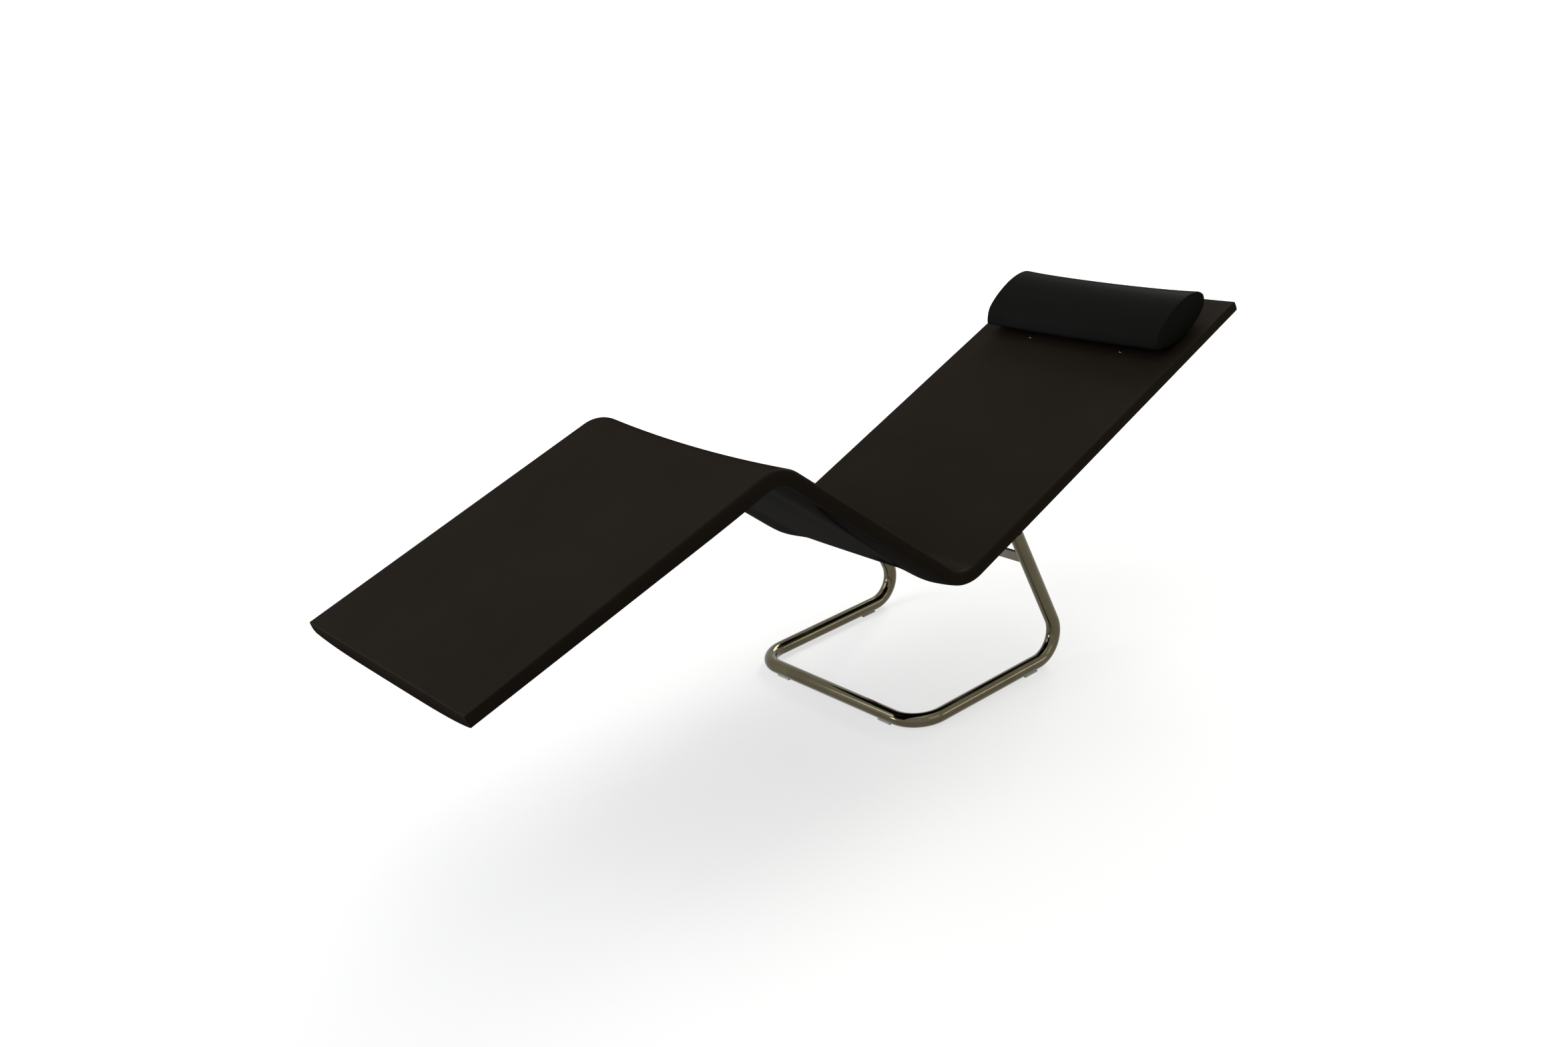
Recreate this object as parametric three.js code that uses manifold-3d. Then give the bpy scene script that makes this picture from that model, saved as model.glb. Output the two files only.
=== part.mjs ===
import * as THREE from "three";
import { mergeVertices } from "three/addons/utils/BufferGeometryUtils.js";
import Module from "manifold-3d";

// Chaise longue: a long padded seat, bent at the knee and the hip, that tips on a bent tube base.
// Millimetres. X runs across the seat, Y from the foot end to the head end, Z up, floor at zero.

const kernel = await Module();
kernel.setup();

const degrees = Math.PI / 180;

const fit = {
  gap: 0.3, // between faces that touch
  overrun: 10, // how far a cutter runs past what it cuts
  ringSpacing: 4, // least distance between two rings of the seat
};

// Seat: the three lengths lie along the top edge, from corner to corner
const seat = {
  width: 540,
  footHeight: 441.2,
  legLength: 660.4,
  thighLength: 511.4,
  backLength: 883.1,
  legRise: 16.6 * degrees,
  thighFall: 42.2 * degrees,
  backRise: 20.4 * degrees,
  kneeRadius: 76,
  hipRadius: 60,
  edgeRadius: 6,
  cornerSteps: 3,
};

// By place: depth of the side face, dip of the top, belly of the underside, and the channel along it
const sideDepth = { foot: 23, shin: 30, knee: 28, hip: 27.2, backMiddle: 23.6, head: 20.6 };
const topDip = { foot: 0, shin: 7.8, knee: 9, hip: 6.5, backMiddle: 5.5, head: 5 };
const belly = { foot: 14, shin: 13, knee: 12, hip: 12, backMiddle: 12, head: 12 };
const channel = { foot: 0, shin: 0, knee: 4, hip: 10.4, backMiddle: 5, head: 0 };
const shinShare = 0.8;
const backMiddleShare = 0.5;

// From the middle to a side, as shares of the half width, and the belly's and the channel's there
const acrossShares = [0, 0.5, 0.66, 0.79, 0.92, 1];
const bellyShares = [1, 0.94, 0.82, 0.66, 0.38, 0];
const channelShares = [1, 1, 0.24, 0, 0, 0];

const cover = { gauge: 2 };
const shell = { gauge: 4, edgeRadius: 1.5 };
const stringer = { width: 50, thickness: 3, fromFoot: 150, fromHead: 262 };

// Base: one bent tube, with a front bar, floor rails and uprights that lean toward the foot end.
// Its front bar and rear corners are placed from the corner of the seat's top edge at the hip.
const tube = { diameter: 28, wall: 2, sides: 16, bendSteps: 8 };
const base = {
  halfWidth: 236.7,
  frontBarToHip: 123.4,
  hipToRearCorner: 284.6,
  railGap: 2,
  uprightLean: 21 * degrees,
  frontBendRadius: 62,
  rearBendRadius: 55,
  uprightPastAxle: 14.5,
};
const axle = { diameter: 22, wall: 3, sides: 24 };
const crossBar = { height: 26, thickness: 5, belowAxle: 43, behindFront: 3.5 };
const tubeCap = { length: 12, sunk: 1.5, edge: 1 };
const glide = { length: 34, width: 16, height: 8, fromBend: 7 };

// Brackets under the back, one on each side, and what is on them
const tiltRange = 16 * degrees;
const bracket = {
  middleX: 100,
  flangeLength: 104,
  flangeWidth: 50,
  flangeThickness: 5,
  bossDrop: 1.5,
  neck: 3.8,
  barrelWall: 4,
  barrelLength: 36,
  webLength: 40,
  plateThickness: 12,
  lugLength: 56,
  lugDepth: 10,
  shoulderDrop: 16,
  shoulderRise: 6,
};
const bush = { wall: 2.7, flangeWidth: 4, flangeThickness: 2 };
const collar = { wall: 6, length: 9 };
const buffer = { thickness: 5, length: 18, fromLugEnd: 2 };
const bracketScrew = {
  headRadius: 5.5,
  headHeight: 3.3,
  shankRadius: 3,
  spacingAlong: 80,
  spacingAcross: 30,
  endRoom: 1,
  sides: 10,
};

// Headrest: its chord runs from the lower to the upper tip, both measured down the back from its end
const headrest = {
  halfLength: 235,
  lowerTip: 213,
  upperTip: 42,
  chordClimb: 16,
  thickness: 69,
  lift: 1.6,
  coverGauge: 2,
  endRounding: 6,
  endPinch: 4,
  travel: 60,
  lengthSteps: 8,
};
// Share along the chord from the lower tip, crown above it and belly below it as shares of thickness
const headrestOutlineShares = [
  [0.04, 0.2, -0.07],
  [0.12, 0.38, -0.18],
  [0.27, 0.49, -0.34],
  [0.43, 0.535, -0.43],
  [0.6, 0.53, -0.485],
  [0.76, 0.46, -0.44],
  [0.88, 0.345, -0.36],
  [0.96, 0.19, -0.24],
];
const headrestBoard = { length: 400, width: 66, thickness: 8, standOff: 11 };

// Rails in the back, and the shoes of the headrest that slide on them
const rail = { diameter: 5, middleX: 124, crown: 1.1, endGap: 0.5, sides: 12 };
const tray = { wall: 1.6, endWall: 6, rim: 0.4, floorGap: 1.2 };
const shoe = {
  length: 34,
  width: 30,
  fromHead: 124,
  footGap: 0.9,
  clipWall: 1.5,
  mouth: 4,
  sideGap: 0.5,
};
const shoeScrew = { headRadius: 3, headHeight: 2, shankRadius: 1.8, bite: 6, offset: 10, sides: 8 };

const finishes = {
  seatLeather: { color: 0x251f1a, roughness: 0.62, metalness: 0 },
  headrestLeather: { color: 0x1c1c21, roughness: 0.45, metalness: 0 },
  foam: { color: 0xb9ac8c, roughness: 0.95, metalness: 0 },
  glossShell: { color: 0x0b0b0c, roughness: 0.12, metalness: 0 },
  stainless: { color: 0xb4ad9b, roughness: 0.32, metalness: 1 },
  blackSteel: { color: 0x1d1d1f, roughness: 0.5, metalness: 0.6 },
  zincSteel: { color: 0xa8abad, roughness: 0.38, metalness: 1 },
  blackRubber: { color: 0x131313, roughness: 0.85, metalness: 0 },
  blackNylon: { color: 0x1a1a1b, roughness: 0.6, metalness: 0 },
  paleNylon: { color: 0xb8b5ac, roughness: 0.5, metalness: 0 },
  plywood: { color: 0xb68f5c, roughness: 0.8, metalness: 0 },
};

// Solids, cuts and places

function solidOf(geometry) {
  const bare = geometry.clone();
  bare.deleteAttribute("normal");
  bare.deleteAttribute("uv");
  const merged = mergeVertices(bare);
  const vertProperties = new Float32Array(merged.attributes.position.array);
  const triVerts = new Uint32Array(merged.index.array);
  return new kernel.Manifold(new kernel.Mesh({ numProp: 3, vertProperties, triVerts }));
}

function geometryOf(solid) {
  const { vertProperties, triVerts } = solid.getMesh();
  const geometry = new THREE.BufferGeometry();
  geometry.setAttribute("position", new THREE.BufferAttribute(vertProperties, 3));
  geometry.setIndex(new THREE.BufferAttribute(triVerts, 1));
  geometry.computeVertexNormals();
  return geometry;
}

function cut(solid, ...cutters) {
  return cutters.reduce((rest, cutter) => rest.subtract(cutter), solid);
}

function join(...solids) {
  return solids.reduce((whole, solid) => whole.add(solid));
}

function moved(solid, matrix) {
  return solidOf(geometryOf(solid).applyMatrix4(matrix));
}

function movedTo(x, y, z) {
  return new THREE.Matrix4().makeTranslation(x, y, z);
}

function turnedX(angle) {
  return new THREE.Matrix4().makeRotationX(angle);
}

// A box between its low and high corners, each given as [x, y, z]
function boxBetween([x0, y0, z0], [x1, y1, z1]) {
  const geometry = new THREE.BoxGeometry(x1 - x0, y1 - y0, z1 - z0);
  return solidOf(geometry.translate((x0 + x1) / 2, (y0 + y1) / 2, (z0 + z1) / 2));
}

// A cylinder that lies along X
function crossCylinder(radius, length, sides) {
  return solidOf(new THREE.CylinderGeometry(radius, radius, length, sides).rotateZ(Math.PI / 2));
}

// A turned piece that stands along Z, its profile given as [radius, height] pairs
function turned(profile, sides) {
  const points = profile.map(([radius, height]) => new THREE.Vector2(radius, height));
  return new THREE.LatheGeometry(points, sides).rotateX(Math.PI / 2);
}

function evenly(from, to, steps) {
  return Array.from({ length: steps + 1 }, (_, i) => from + ((to - from) * i) / steps);
}

function directionOf(from, to) {
  return to.clone().sub(from).normalize();
}

// A closed skin over rings of equal count, capped at both ends by the flat outline of a ring.
// Cells split the same way on both faces of a layer, so layers that follow each other stay apart.
function loft(rings, outline) {
  const points = rings.flat();
  const count = rings[0].length;
  const last = (rings.length - 1) * count;
  const triangles = [];
  for (let start = 0; start < last; start += count) {
    for (let i = 0; i < count; i += 1) {
      const a = start + i;
      const b = start + ((i + 1) % count);
      if (Math.abs(points[a].x) > Math.abs(points[b].x)) {
        triangles.push(a, b, a + count, b, b + count, a + count);
      } else {
        triangles.push(a, b, b + count, a, b + count, a + count);
      }
    }
  }
  const flat = outline.map(([x, y]) => new THREE.Vector2(x, y));
  const forward = THREE.ShapeUtils.isClockWise(flat) ? -1 : 1;
  for (const [a, b, c] of THREE.ShapeUtils.triangulateShape(flat, [])) {
    const [p, q] = forward === 1 ? [b, c] : [c, b];
    triangles.push(a, q, p, last + a, last + p, last + q);
  }
  if (signedVolume(points, triangles) < 0) {
    triangles.reverse();
  }
  return solidOf(new THREE.BufferGeometry().setFromPoints(points).setIndex(triangles));
}

function signedVolume(points, triangles) {
  const normal = new THREE.Vector3();
  let volume = 0;
  for (let i = 0; i < triangles.length; i += 3) {
    const [a, b, c] = triangles.slice(i, i + 3).map((index) => points[index]);
    volume += a.dot(normal.crossVectors(b, c)) / 6;
  }
  return volume;
}

// Seat profile: three straight runs joined by an arc at the knee and one at the hip

const kneeTurn = seat.legRise + seat.thighFall;
const hipTurn = seat.thighFall + seat.backRise;
const kneeTangent = seat.kneeRadius * Math.tan(kneeTurn / 2);
const hipTangent = seat.hipRadius * Math.tan(hipTurn / 2);

const legRun = { length: seat.legLength - kneeTangent, turn: 0, steps: 4 };
const kneeRun = { length: seat.kneeRadius * kneeTurn, turn: -kneeTurn, steps: 7 };
const thighRun = { length: seat.thighLength - kneeTangent - hipTangent, turn: 0, steps: 3 };
const hipRun = { length: seat.hipRadius * hipTurn, turn: hipTurn, steps: 7 };
const backRun = { length: seat.backLength - hipTangent, turn: 0, steps: 5 };
const seatRuns = [legRun, kneeRun, thighRun, hipRun, backRun];

const kneeTravel = legRun.length + kneeRun.length / 2;
const hipTravel = legRun.length + kneeRun.length + thighRun.length + hipRun.length / 2;
const headTravel = hipTravel + hipRun.length / 2 + backRun.length;
const backMiddleTravel = hipTravel + (headTravel - hipTravel) * backMiddleShare;
const seatPlaces = [
  ["foot", 0],
  ["shin", kneeTravel * shinShare],
  ["knee", kneeTravel],
  ["hip", hipTravel],
  ["backMiddle", backMiddleTravel],
  ["head", headTravel],
];

// Point and heading of the top edge at a travel along it from the foot end
function seatPoint(travel) {
  let y = 0;
  let z = seat.footHeight;
  let heading = seat.legRise;
  let left = travel;
  for (const run of seatRuns) {
    const step = Math.min(left, run.length);
    const turn = (run.turn * step) / run.length;
    const chord = turn === 0 ? step : (step * Math.sin(turn / 2)) / (turn / 2);
    y += chord * Math.cos(heading + turn / 2);
    z += chord * Math.sin(heading + turn / 2);
    heading += turn;
    left -= step;
  }
  return { y, z, heading };
}

// Travels of the seat's rings: the steps of every run and the named places
function seatTravels(start, end) {
  const inner = seatPlaces.map(([, travel]) => travel);
  let from = 0;
  for (const run of seatRuns) {
    inner.push(...evenly(from, from + run.length, run.steps));
    from += run.length;
  }
  const travels = [start];
  for (const travel of inner.sort((a, b) => a - b)) {
    const isClear = travel - travels[travels.length - 1] > fit.ringSpacing;
    if (isClear && travel < end - fit.ringSpacing) {
      travels.push(travel);
    }
  }
  return [...travels, end];
}

// The value of a table at a travel, in a straight line between its places
function alongSeat(table, travel) {
  const next = seatPlaces.findIndex(([, place]) => travel <= place);
  const index = next < 0 ? seatPlaces.length - 1 : Math.max(next, 1);
  const [nameA, a] = seatPlaces[index - 1];
  const [nameB, b] = seatPlaces[index];
  return THREE.MathUtils.mapLinear(travel, a, b, table[nameA], table[nameB]);
}

const halfWidth = seat.width / 2;
const sidePlaces = acrossShares.map((share) => share * halfWidth);
const acrossPlaces = [...sidePlaces.slice(1).map((x) => -x).reverse(), ...sidePlaces];

// A height across the seat, in straight lines between the shared places from the middle to a side
function faceted(heightAt) {
  return (x, travel) => {
    const fromMiddle = Math.min(Math.abs(x), halfWidth);
    const outer = Math.max(sidePlaces.findIndex((place) => fromMiddle <= place), 1);
    const [low, high] = [outer - 1, outer].map((index) => heightAt(index, travel));
    return THREE.MathUtils.mapLinear(fromMiddle, sidePlaces[outer - 1], sidePlaces[outer], low, high);
  };
}

const seatTop = faceted((index, travel) => -alongSeat(topDip, travel) * (1 - acrossShares[index] ** 2));
const underside = faceted((index, travel) => {
  const bulge = alongSeat(belly, travel) * bellyShares[index];
  return alongSeat(channel, travel) * channelShares[index] - alongSeat(sideDepth, travel) - bulge;
});
const shellTop = (x, travel) => underside(x, travel) + shell.gauge;
const foamBottom = (x, travel) => shellTop(x, travel) + fit.gap;
const stringerBottom = (x, travel) => shellTop(x, travel) + fit.gap;
const stringerTop = (x, travel) => stringerBottom(x, travel) + stringer.thickness;

// A solid whose outline, [x, height above the top edge] pairs at a travel, follows the seat
function seatLoft(outline, start, end) {
  const rings = seatTravels(start, end).map((travel) => {
    const { y, z, heading } = seatPoint(travel);
    return outline(travel).map(
      ([x, height]) =>
        new THREE.Vector3(x, y - height * Math.sin(heading), z + height * Math.cos(heading)),
    );
  });
  return loft(rings, outline(start));
}

// Points of a quarter round from a flat face to the side face, up or down
function cornerRound(x, height, radius, upDown) {
  return evenly(Math.PI / 2, 0, seat.cornerSteps)
    .slice(1)
    .map((angle) => [x + radius * Math.cos(angle), height + upDown * radius * Math.sin(angle)]);
}

// A layer over the seat's whole width, inset at its sides and ends, its long edges rounded
function seatLayer({ inset, top, bottom, topRadius, bottomRadius }) {
  const side = halfWidth - inset;
  const across = (limit) => [-limit, ...acrossPlaces.filter((x) => Math.abs(x) < limit), limit];
  const outline = (travel) => {
    const shoulder = side - topRadius;
    const keel = side - bottomRadius;
    const crownCentre = top(shoulder, travel) - topRadius;
    const keelCentre = bottom(keel, travel) + bottomRadius;
    const topCorner = topRadius > 0 ? cornerRound(shoulder, crownCentre, topRadius, 1) : [];
    const keelCorner = bottomRadius > 0 ? cornerRound(keel, keelCentre, bottomRadius, -1) : [];
    const right = [...topCorner, ...keelCorner.reverse()];
    const left = right.map(([x, height]) => [-x, height]).reverse();
    const over = across(shoulder).map((x) => [x, top(x, travel)]);
    const under = across(keel).map((x) => [x, bottom(x, travel)]);
    return [...over, ...right, ...under.reverse(), ...left];
  };
  return seatLoft(outline, inset, headTravel - inset);
}

// A strip of the seat of one width, at a place across it
function seatStrip({ middleX, width, top, bottom, start, end }) {
  const low = middleX - width / 2;
  const high = middleX + width / 2;
  const across = [low, ...acrossPlaces.filter((x) => x > low && x < high), high];
  const outline = (travel) => [
    ...across.map((x) => [x, bottom(x, travel)]),
    ...across.map((x) => [x, top(x, travel)]).reverse(),
  ];
  return seatLoft(outline, start, end);
}

// Frames: the back's starts at its head end, with local Y up the back and local Z off it

const headEnd = seatPoint(headTravel);
const backFrame = movedTo(0, headEnd.y, headEnd.z).multiply(turnedX(seat.backRise));

// Heights off the back: bosses of the shell, the brackets' flanges on them, and the axle below

const flangeSides = [
  bracket.middleX - bracket.flangeWidth / 2,
  bracket.middleX + bracket.flangeWidth / 2,
];
const flangeAcross = [
  ...flangeSides,
  ...acrossPlaces.filter((x) => x > flangeSides[0] && x < flangeSides[1]),
];
const undersOfBack = flangeAcross.flatMap((x) => [
  underside(x, hipTravel),
  underside(x, backMiddleTravel),
]);
const bossFace = Math.min(...undersOfBack) - bracket.bossDrop;
const flangeTop = bossFace - fit.gap;
const flangeBottom = flangeTop - bracket.flangeThickness;
const bushRadius = axle.diameter / 2 + fit.gap + bush.wall;
const barrelRadius = bushRadius + fit.gap + bracket.barrelWall;
const axleDepth = flangeBottom - bracket.neck - barrelRadius;

// The axle lies on the line of the uprights, at its depth below the back
const hipCornerY = seat.legLength * Math.cos(seat.legRise) + seat.thighLength * Math.cos(seat.thighFall);
const frontBarY = hipCornerY - base.frontBarToHip;
const rearCornerY = hipCornerY + base.hipToRearCorner;
const railHeight = base.railGap + tube.diameter / 2;
const rearCorner = new THREE.Vector3(0, rearCornerY, railHeight);
const rearCornerDepth = rearCorner.clone().applyMatrix4(backFrame.clone().invert()).z;
const axleClimb = (axleDepth - rearCornerDepth) / Math.cos(base.uprightLean - seat.backRise);
const axleY = rearCornerY - axleClimb * Math.sin(base.uprightLean);
const axleZ = railHeight + axleClimb * Math.cos(base.uprightLean);
const uprightFrame = movedTo(0, axleY, axleZ).multiply(turnedX(base.uprightLean));
const axleOnBack = new THREE.Vector3(0, axleY, axleZ).applyMatrix4(backFrame.clone().invert());
const axleTravel = headTravel + axleOnBack.y;

// Base pieces

// A path of straight runs and round bends, with stations at the ends of runs and along the bends
class BentPath extends THREE.Curve {
  constructor(corners, radii, bendSteps) {
    super();
    const last = corners.length - 1;
    this.stations = [{ point: corners[0], tangent: directionOf(corners[0], corners[1]) }];
    radii.forEach((radius, i) => this.bend(corners.slice(i, i + 3), radius, bendSteps));
    this.stations.push({ point: corners[last], tangent: directionOf(corners[last - 1], corners[last]) });
  }

  bend([before, corner, after], radius, steps) {
    const inward = directionOf(before, corner);
    const outward = directionOf(corner, after);
    const turn = inward.angleTo(outward);
    const start = corner.clone().addScaledVector(inward, -radius * Math.tan(turn / 2));
    const side = outward.clone().addScaledVector(inward, -outward.dot(inward)).normalize();
    for (const angle of evenly(0, turn, steps)) {
      const point = start.clone().addScaledVector(inward, radius * Math.sin(angle));
      point.addScaledVector(side, radius * (1 - Math.cos(angle)));
      const tangent = inward.clone().multiplyScalar(Math.cos(angle));
      this.stations.push({ point, tangent: tangent.addScaledVector(side, Math.sin(angle)) });
    }
  }

  station(share) {
    return this.stations[Math.round(share * (this.stations.length - 1))];
  }

  getPointAt(share) {
    return this.station(share).point.clone();
  }

  getTangentAt(share) {
    return this.station(share).tangent.clone();
  }

  getSpacedPoints() {
    return this.stations.map(({ point }) => point.clone());
  }
}

function baseTube() {
  const rear = new THREE.Vector3(base.halfWidth, rearCornerY, railHeight);
  const front = new THREE.Vector3(base.halfWidth, frontBarY, railHeight);
  const top = new THREE.Vector3(base.halfWidth, 0, base.uprightPastAxle).applyMatrix4(uprightFrame);
  const acrossBase = ({ x, y, z }) => new THREE.Vector3(-x, y, z);
  const corners = [top, rear, front, acrossBase(front), acrossBase(rear), acrossBase(top)];
  const { rearBendRadius, frontBendRadius } = base;
  const radii = [rearBendRadius, frontBendRadius, frontBendRadius, rearBendRadius];
  const path = new BentPath(corners, radii, tube.bendSteps);
  const section = new THREE.Shape();
  section.absarc(0, 0, tube.diameter / 2, 0, 2 * Math.PI);
  const bore = new THREE.Path();
  bore.absarc(0, 0, tube.diameter / 2 - tube.wall, 0, 2 * Math.PI);
  section.holes.push(bore);
  const steps = path.stations.length - 1;
  const curveSegments = tube.sides / 2;
  return solidOf(new THREE.ExtrudeGeometry(section, { steps, curveSegments, extrudePath: path }));
}

// Cuts the ends of a piece to the outside of both uprights
function betweenUprights(solid) {
  const radius = tube.diameter / 2 + fit.gap;
  const length = 2 * (crossBar.belowAxle + crossBar.height);
  const cutters = [-1, 1].map((side) => {
    const upright = new THREE.CylinderGeometry(radius, radius, length, 2 * tube.sides);
    upright.rotateX(Math.PI / 2).translate(side * base.halfWidth, 0, 0);
    return solidOf(upright.applyMatrix4(uprightFrame));
  });
  return cut(solid, ...cutters);
}

const barFront = crossBar.behindFront - tube.diameter / 2;
const barRear = barFront + crossBar.thickness;

function crossBarSolid() {
  const low = -crossBar.belowAxle - crossBar.height / 2;
  const high = -crossBar.belowAxle + crossBar.height / 2;
  const bar = boxBetween([-base.halfWidth, barFront, low], [base.halfWidth, barRear, high]);
  return betweenUprights(moved(bar, uprightFrame));
}

function axleSolid() {
  const outside = crossCylinder(axle.diameter / 2, 2 * base.halfWidth, axle.sides);
  const boreRadius = axle.diameter / 2 - axle.wall;
  const bore = crossCylinder(boreRadius, 2 * (base.halfWidth + fit.overrun), axle.sides);
  return betweenUprights(moved(cut(outside, bore), movedTo(0, axleY, axleZ)));
}

// A plug pressed into the open end of an upright, a little below its rim
function tubeCapGeometry() {
  const radius = tube.diameter / 2 - tube.wall - fit.gap;
  const top = -tubeCap.sunk;
  const bottom = top - tubeCap.length;
  return turned(
    [
      [0, bottom],
      [radius - tubeCap.edge, bottom],
      [radius, bottom + tubeCap.edge],
      [radius, top - tubeCap.edge],
      [radius - tubeCap.edge, top],
      [0, top],
    ],
    tube.sides,
  );
}

// A glide that holds a floor tube running along Y
function glideSolid() {
  const saddle = boxBetween(
    [-glide.width / 2, -glide.length / 2, 0],
    [glide.width / 2, glide.length / 2, glide.height],
  );
  const radius = tube.diameter / 2 + fit.gap;
  const railOutside = new THREE.CylinderGeometry(radius, radius, 2 * glide.length, 2 * tube.sides);
  return cut(saddle, solidOf(railOutside.translate(0, 0, railHeight)));
}

// A turned ring that lies along X
function crossRing(profile, sides) {
  return turned([...profile, profile[0]], sides).rotateY(Math.PI / 2);
}

function collarGeometry() {
  const inner = axle.diameter / 2 + fit.gap;
  const outer = inner + collar.wall;
  return crossRing(
    [
      [inner, 0],
      [outer, 0],
      [outer, collar.length],
      [inner, collar.length],
    ],
    axle.sides,
  );
}

// Headrest rails and the trays that they lie in, in the frame of the back

const clipHalf = rail.diameter / 2 + fit.gap + shoe.clipWall;
const slotHalf = clipHalf + shoe.sideGap;
const slotStart = shoe.fromHead - shoe.length / 2 - fit.gap;
const slotEnd = shoe.fromHead + shoe.length / 2 + headrest.travel + fit.gap;
const trayStart = slotStart - tray.endWall;
const trayEnd = slotEnd + tray.endWall;
const trayHalf = slotHalf + tray.wall;
const trayTop = seatTop(rail.middleX, headTravel - trayStart) + tray.rim;
const railAxisHeight = trayTop - tray.rim + rail.crown - rail.diameter / 2;
const traySides = [rail.middleX - trayHalf, rail.middleX + trayHalf];
const trayTravels = [headTravel - trayStart, headTravel - trayEnd];
const shellUnderTray = traySides.flatMap((x) => trayTravels.map((travel) => shellTop(x, travel)));
const trayBottom = Math.max(...shellUnderTray) + fit.gap;

function trayBlock(margin, bottom, top) {
  return boxBetween(
    [rail.middleX - trayHalf - margin, -trayEnd - margin, bottom],
    [rail.middleX + trayHalf + margin, -trayStart + margin, top],
  );
}

function traySolid() {
  const slot = boxBetween(
    [rail.middleX - slotHalf, -slotEnd, railAxisHeight - clipHalf - tray.floorGap],
    [rail.middleX + slotHalf, -slotStart, trayTop + fit.overrun],
  );
  return cut(trayBlock(0, trayBottom, trayTop), slot, railRod(fit.gap, fit.overrun));
}

// The rail, or with a margin the space that it takes
function railRod(margin, endMargin) {
  const length = trayEnd - trayStart - 2 * rail.endGap + 2 * endMargin;
  const radius = rail.diameter / 2 + margin;
  const rod = new THREE.CylinderGeometry(radius, radius, length, rail.sides);
  return solidOf(rod.translate(rail.middleX, -(trayStart + trayEnd) / 2, railAxisHeight));
}

function mirrored(solid) {
  return solid.mirror([1, 0, 0]);
}

function bothSides(solid) {
  return [solid, mirrored(solid)];
}

const trayCutters = bothSides(
  moved(trayBlock(fit.gap, trayBottom - fit.overrun, trayTop + fit.overrun), backFrame),
);

// Bracket seat and screws, in the frame of the back

const flangeEnds = [axleTravel - bracket.flangeLength / 2, axleTravel + bracket.flangeLength / 2];
const stringerTops = flangeEnds.flatMap((travel) => flangeAcross.map((x) => stringerTop(x, travel)));
const screwSeat = flangeBottom - fit.gap;
const screwEnd = Math.max(...stringerTops);

// Places of one bracket's screws as [x, y] on the back
const screwPlaces = [-1, 1].flatMap((alongSign) =>
  [-1, 1].map((acrossSign) => [
    bracket.middleX + (acrossSign * bracketScrew.spacingAcross) / 2,
    axleOnBack.y + (alongSign * bracketScrew.spacingAlong) / 2,
  ]),
);

function bracketScrewGeometry() {
  const { headRadius, headHeight, shankRadius } = bracketScrew;
  const profile = [
    [0, -headHeight],
    [headRadius * Math.cos(Math.PI / 4), -headHeight],
    [headRadius, -headHeight / 2],
    [headRadius, 0],
    [shankRadius, 0],
    [shankRadius, screwEnd - screwSeat],
    [0, screwEnd - screwSeat],
  ];
  return turned(profile, bracketScrew.sides);
}

function screwHole([x, y], sides) {
  const radius = bracketScrew.shankRadius + fit.gap;
  const low = flangeBottom - fit.overrun;
  const length = screwEnd + bracketScrew.endRoom - low;
  const hole = new THREE.CylinderGeometry(radius, radius, length, sides).rotateX(Math.PI / 2);
  return solidOf(hole.translate(x, y, low + length / 2));
}

const screwHolesOnBack = screwPlaces.map((place) => screwHole(place, 2 * bracketScrew.sides));
const screwHoles = screwHolesOnBack.flatMap((hole) => bothSides(moved(hole, backFrame)));

// Seat pieces

function seatCover() {
  const outside = seatLayer({
    inset: 0,
    top: seatTop,
    bottom: underside,
    topRadius: seat.edgeRadius,
    bottomRadius: 0,
  });
  const hollow = seatLayer({
    inset: cover.gauge,
    top: (x, travel) => seatTop(x, travel) - cover.gauge,
    bottom: (x, travel) => underside(x, travel) - fit.overrun,
    topRadius: seat.edgeRadius - cover.gauge,
    bottomRadius: 0,
  });
  return cut(outside, hollow, ...trayCutters);
}

function seatFoam() {
  const inset = cover.gauge + fit.gap;
  const core = seatLayer({
    inset,
    top: (x, travel) => seatTop(x, travel) - inset,
    bottom: foamBottom,
    topRadius: seat.edgeRadius - cover.gauge,
    bottomRadius: 0,
  });
  const pocket = seatStrip({
    middleX: bracket.middleX,
    width: stringer.width + 2 * fit.gap,
    top: (x, travel) => stringerTop(x, travel) + fit.gap,
    bottom: (x, travel) => stringerBottom(x, travel) - fit.overrun,
    start: stringer.fromFoot - fit.gap,
    end: headTravel - stringer.fromHead + fit.gap,
  });
  return cut(core, ...trayCutters, ...bothSides(pocket), ...screwHoles);
}

function stringerSolid() {
  const bar = seatStrip({
    middleX: bracket.middleX,
    width: stringer.width,
    top: stringerTop,
    bottom: stringerBottom,
    start: stringer.fromFoot,
    end: headTravel - stringer.fromHead,
  });
  return cut(bar, ...screwHoles);
}

function underShell() {
  const skin = seatLayer({
    inset: cover.gauge + fit.gap,
    top: shellTop,
    bottom: underside,
    topRadius: 0,
    bottomRadius: shell.edgeRadius,
  });
  const boss = seatStrip({
    middleX: bracket.middleX,
    width: bracket.flangeWidth,
    top: (x, travel) => underside(x, travel) + shell.gauge / 2,
    bottom: () => bossFace,
    start: flangeEnds[0],
    end: flangeEnds[1],
  });
  return cut(join(skin, ...bothSides(boss)), ...screwHoles);
}

// Bracket: flange, web and barrel, with a lug on each side of the cross bar; its origin is on the axle

const lyingLugFrame = turnedX(base.uprightLean - seat.backRise);
const sittingLugFrame = turnedX(base.uprightLean - seat.backRise - tiltRange);
const lyingLugFace = barRear + buffer.thickness + 2 * fit.gap;
const sittingLugFace = barFront - buffer.thickness - 2 * fit.gap;

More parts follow.
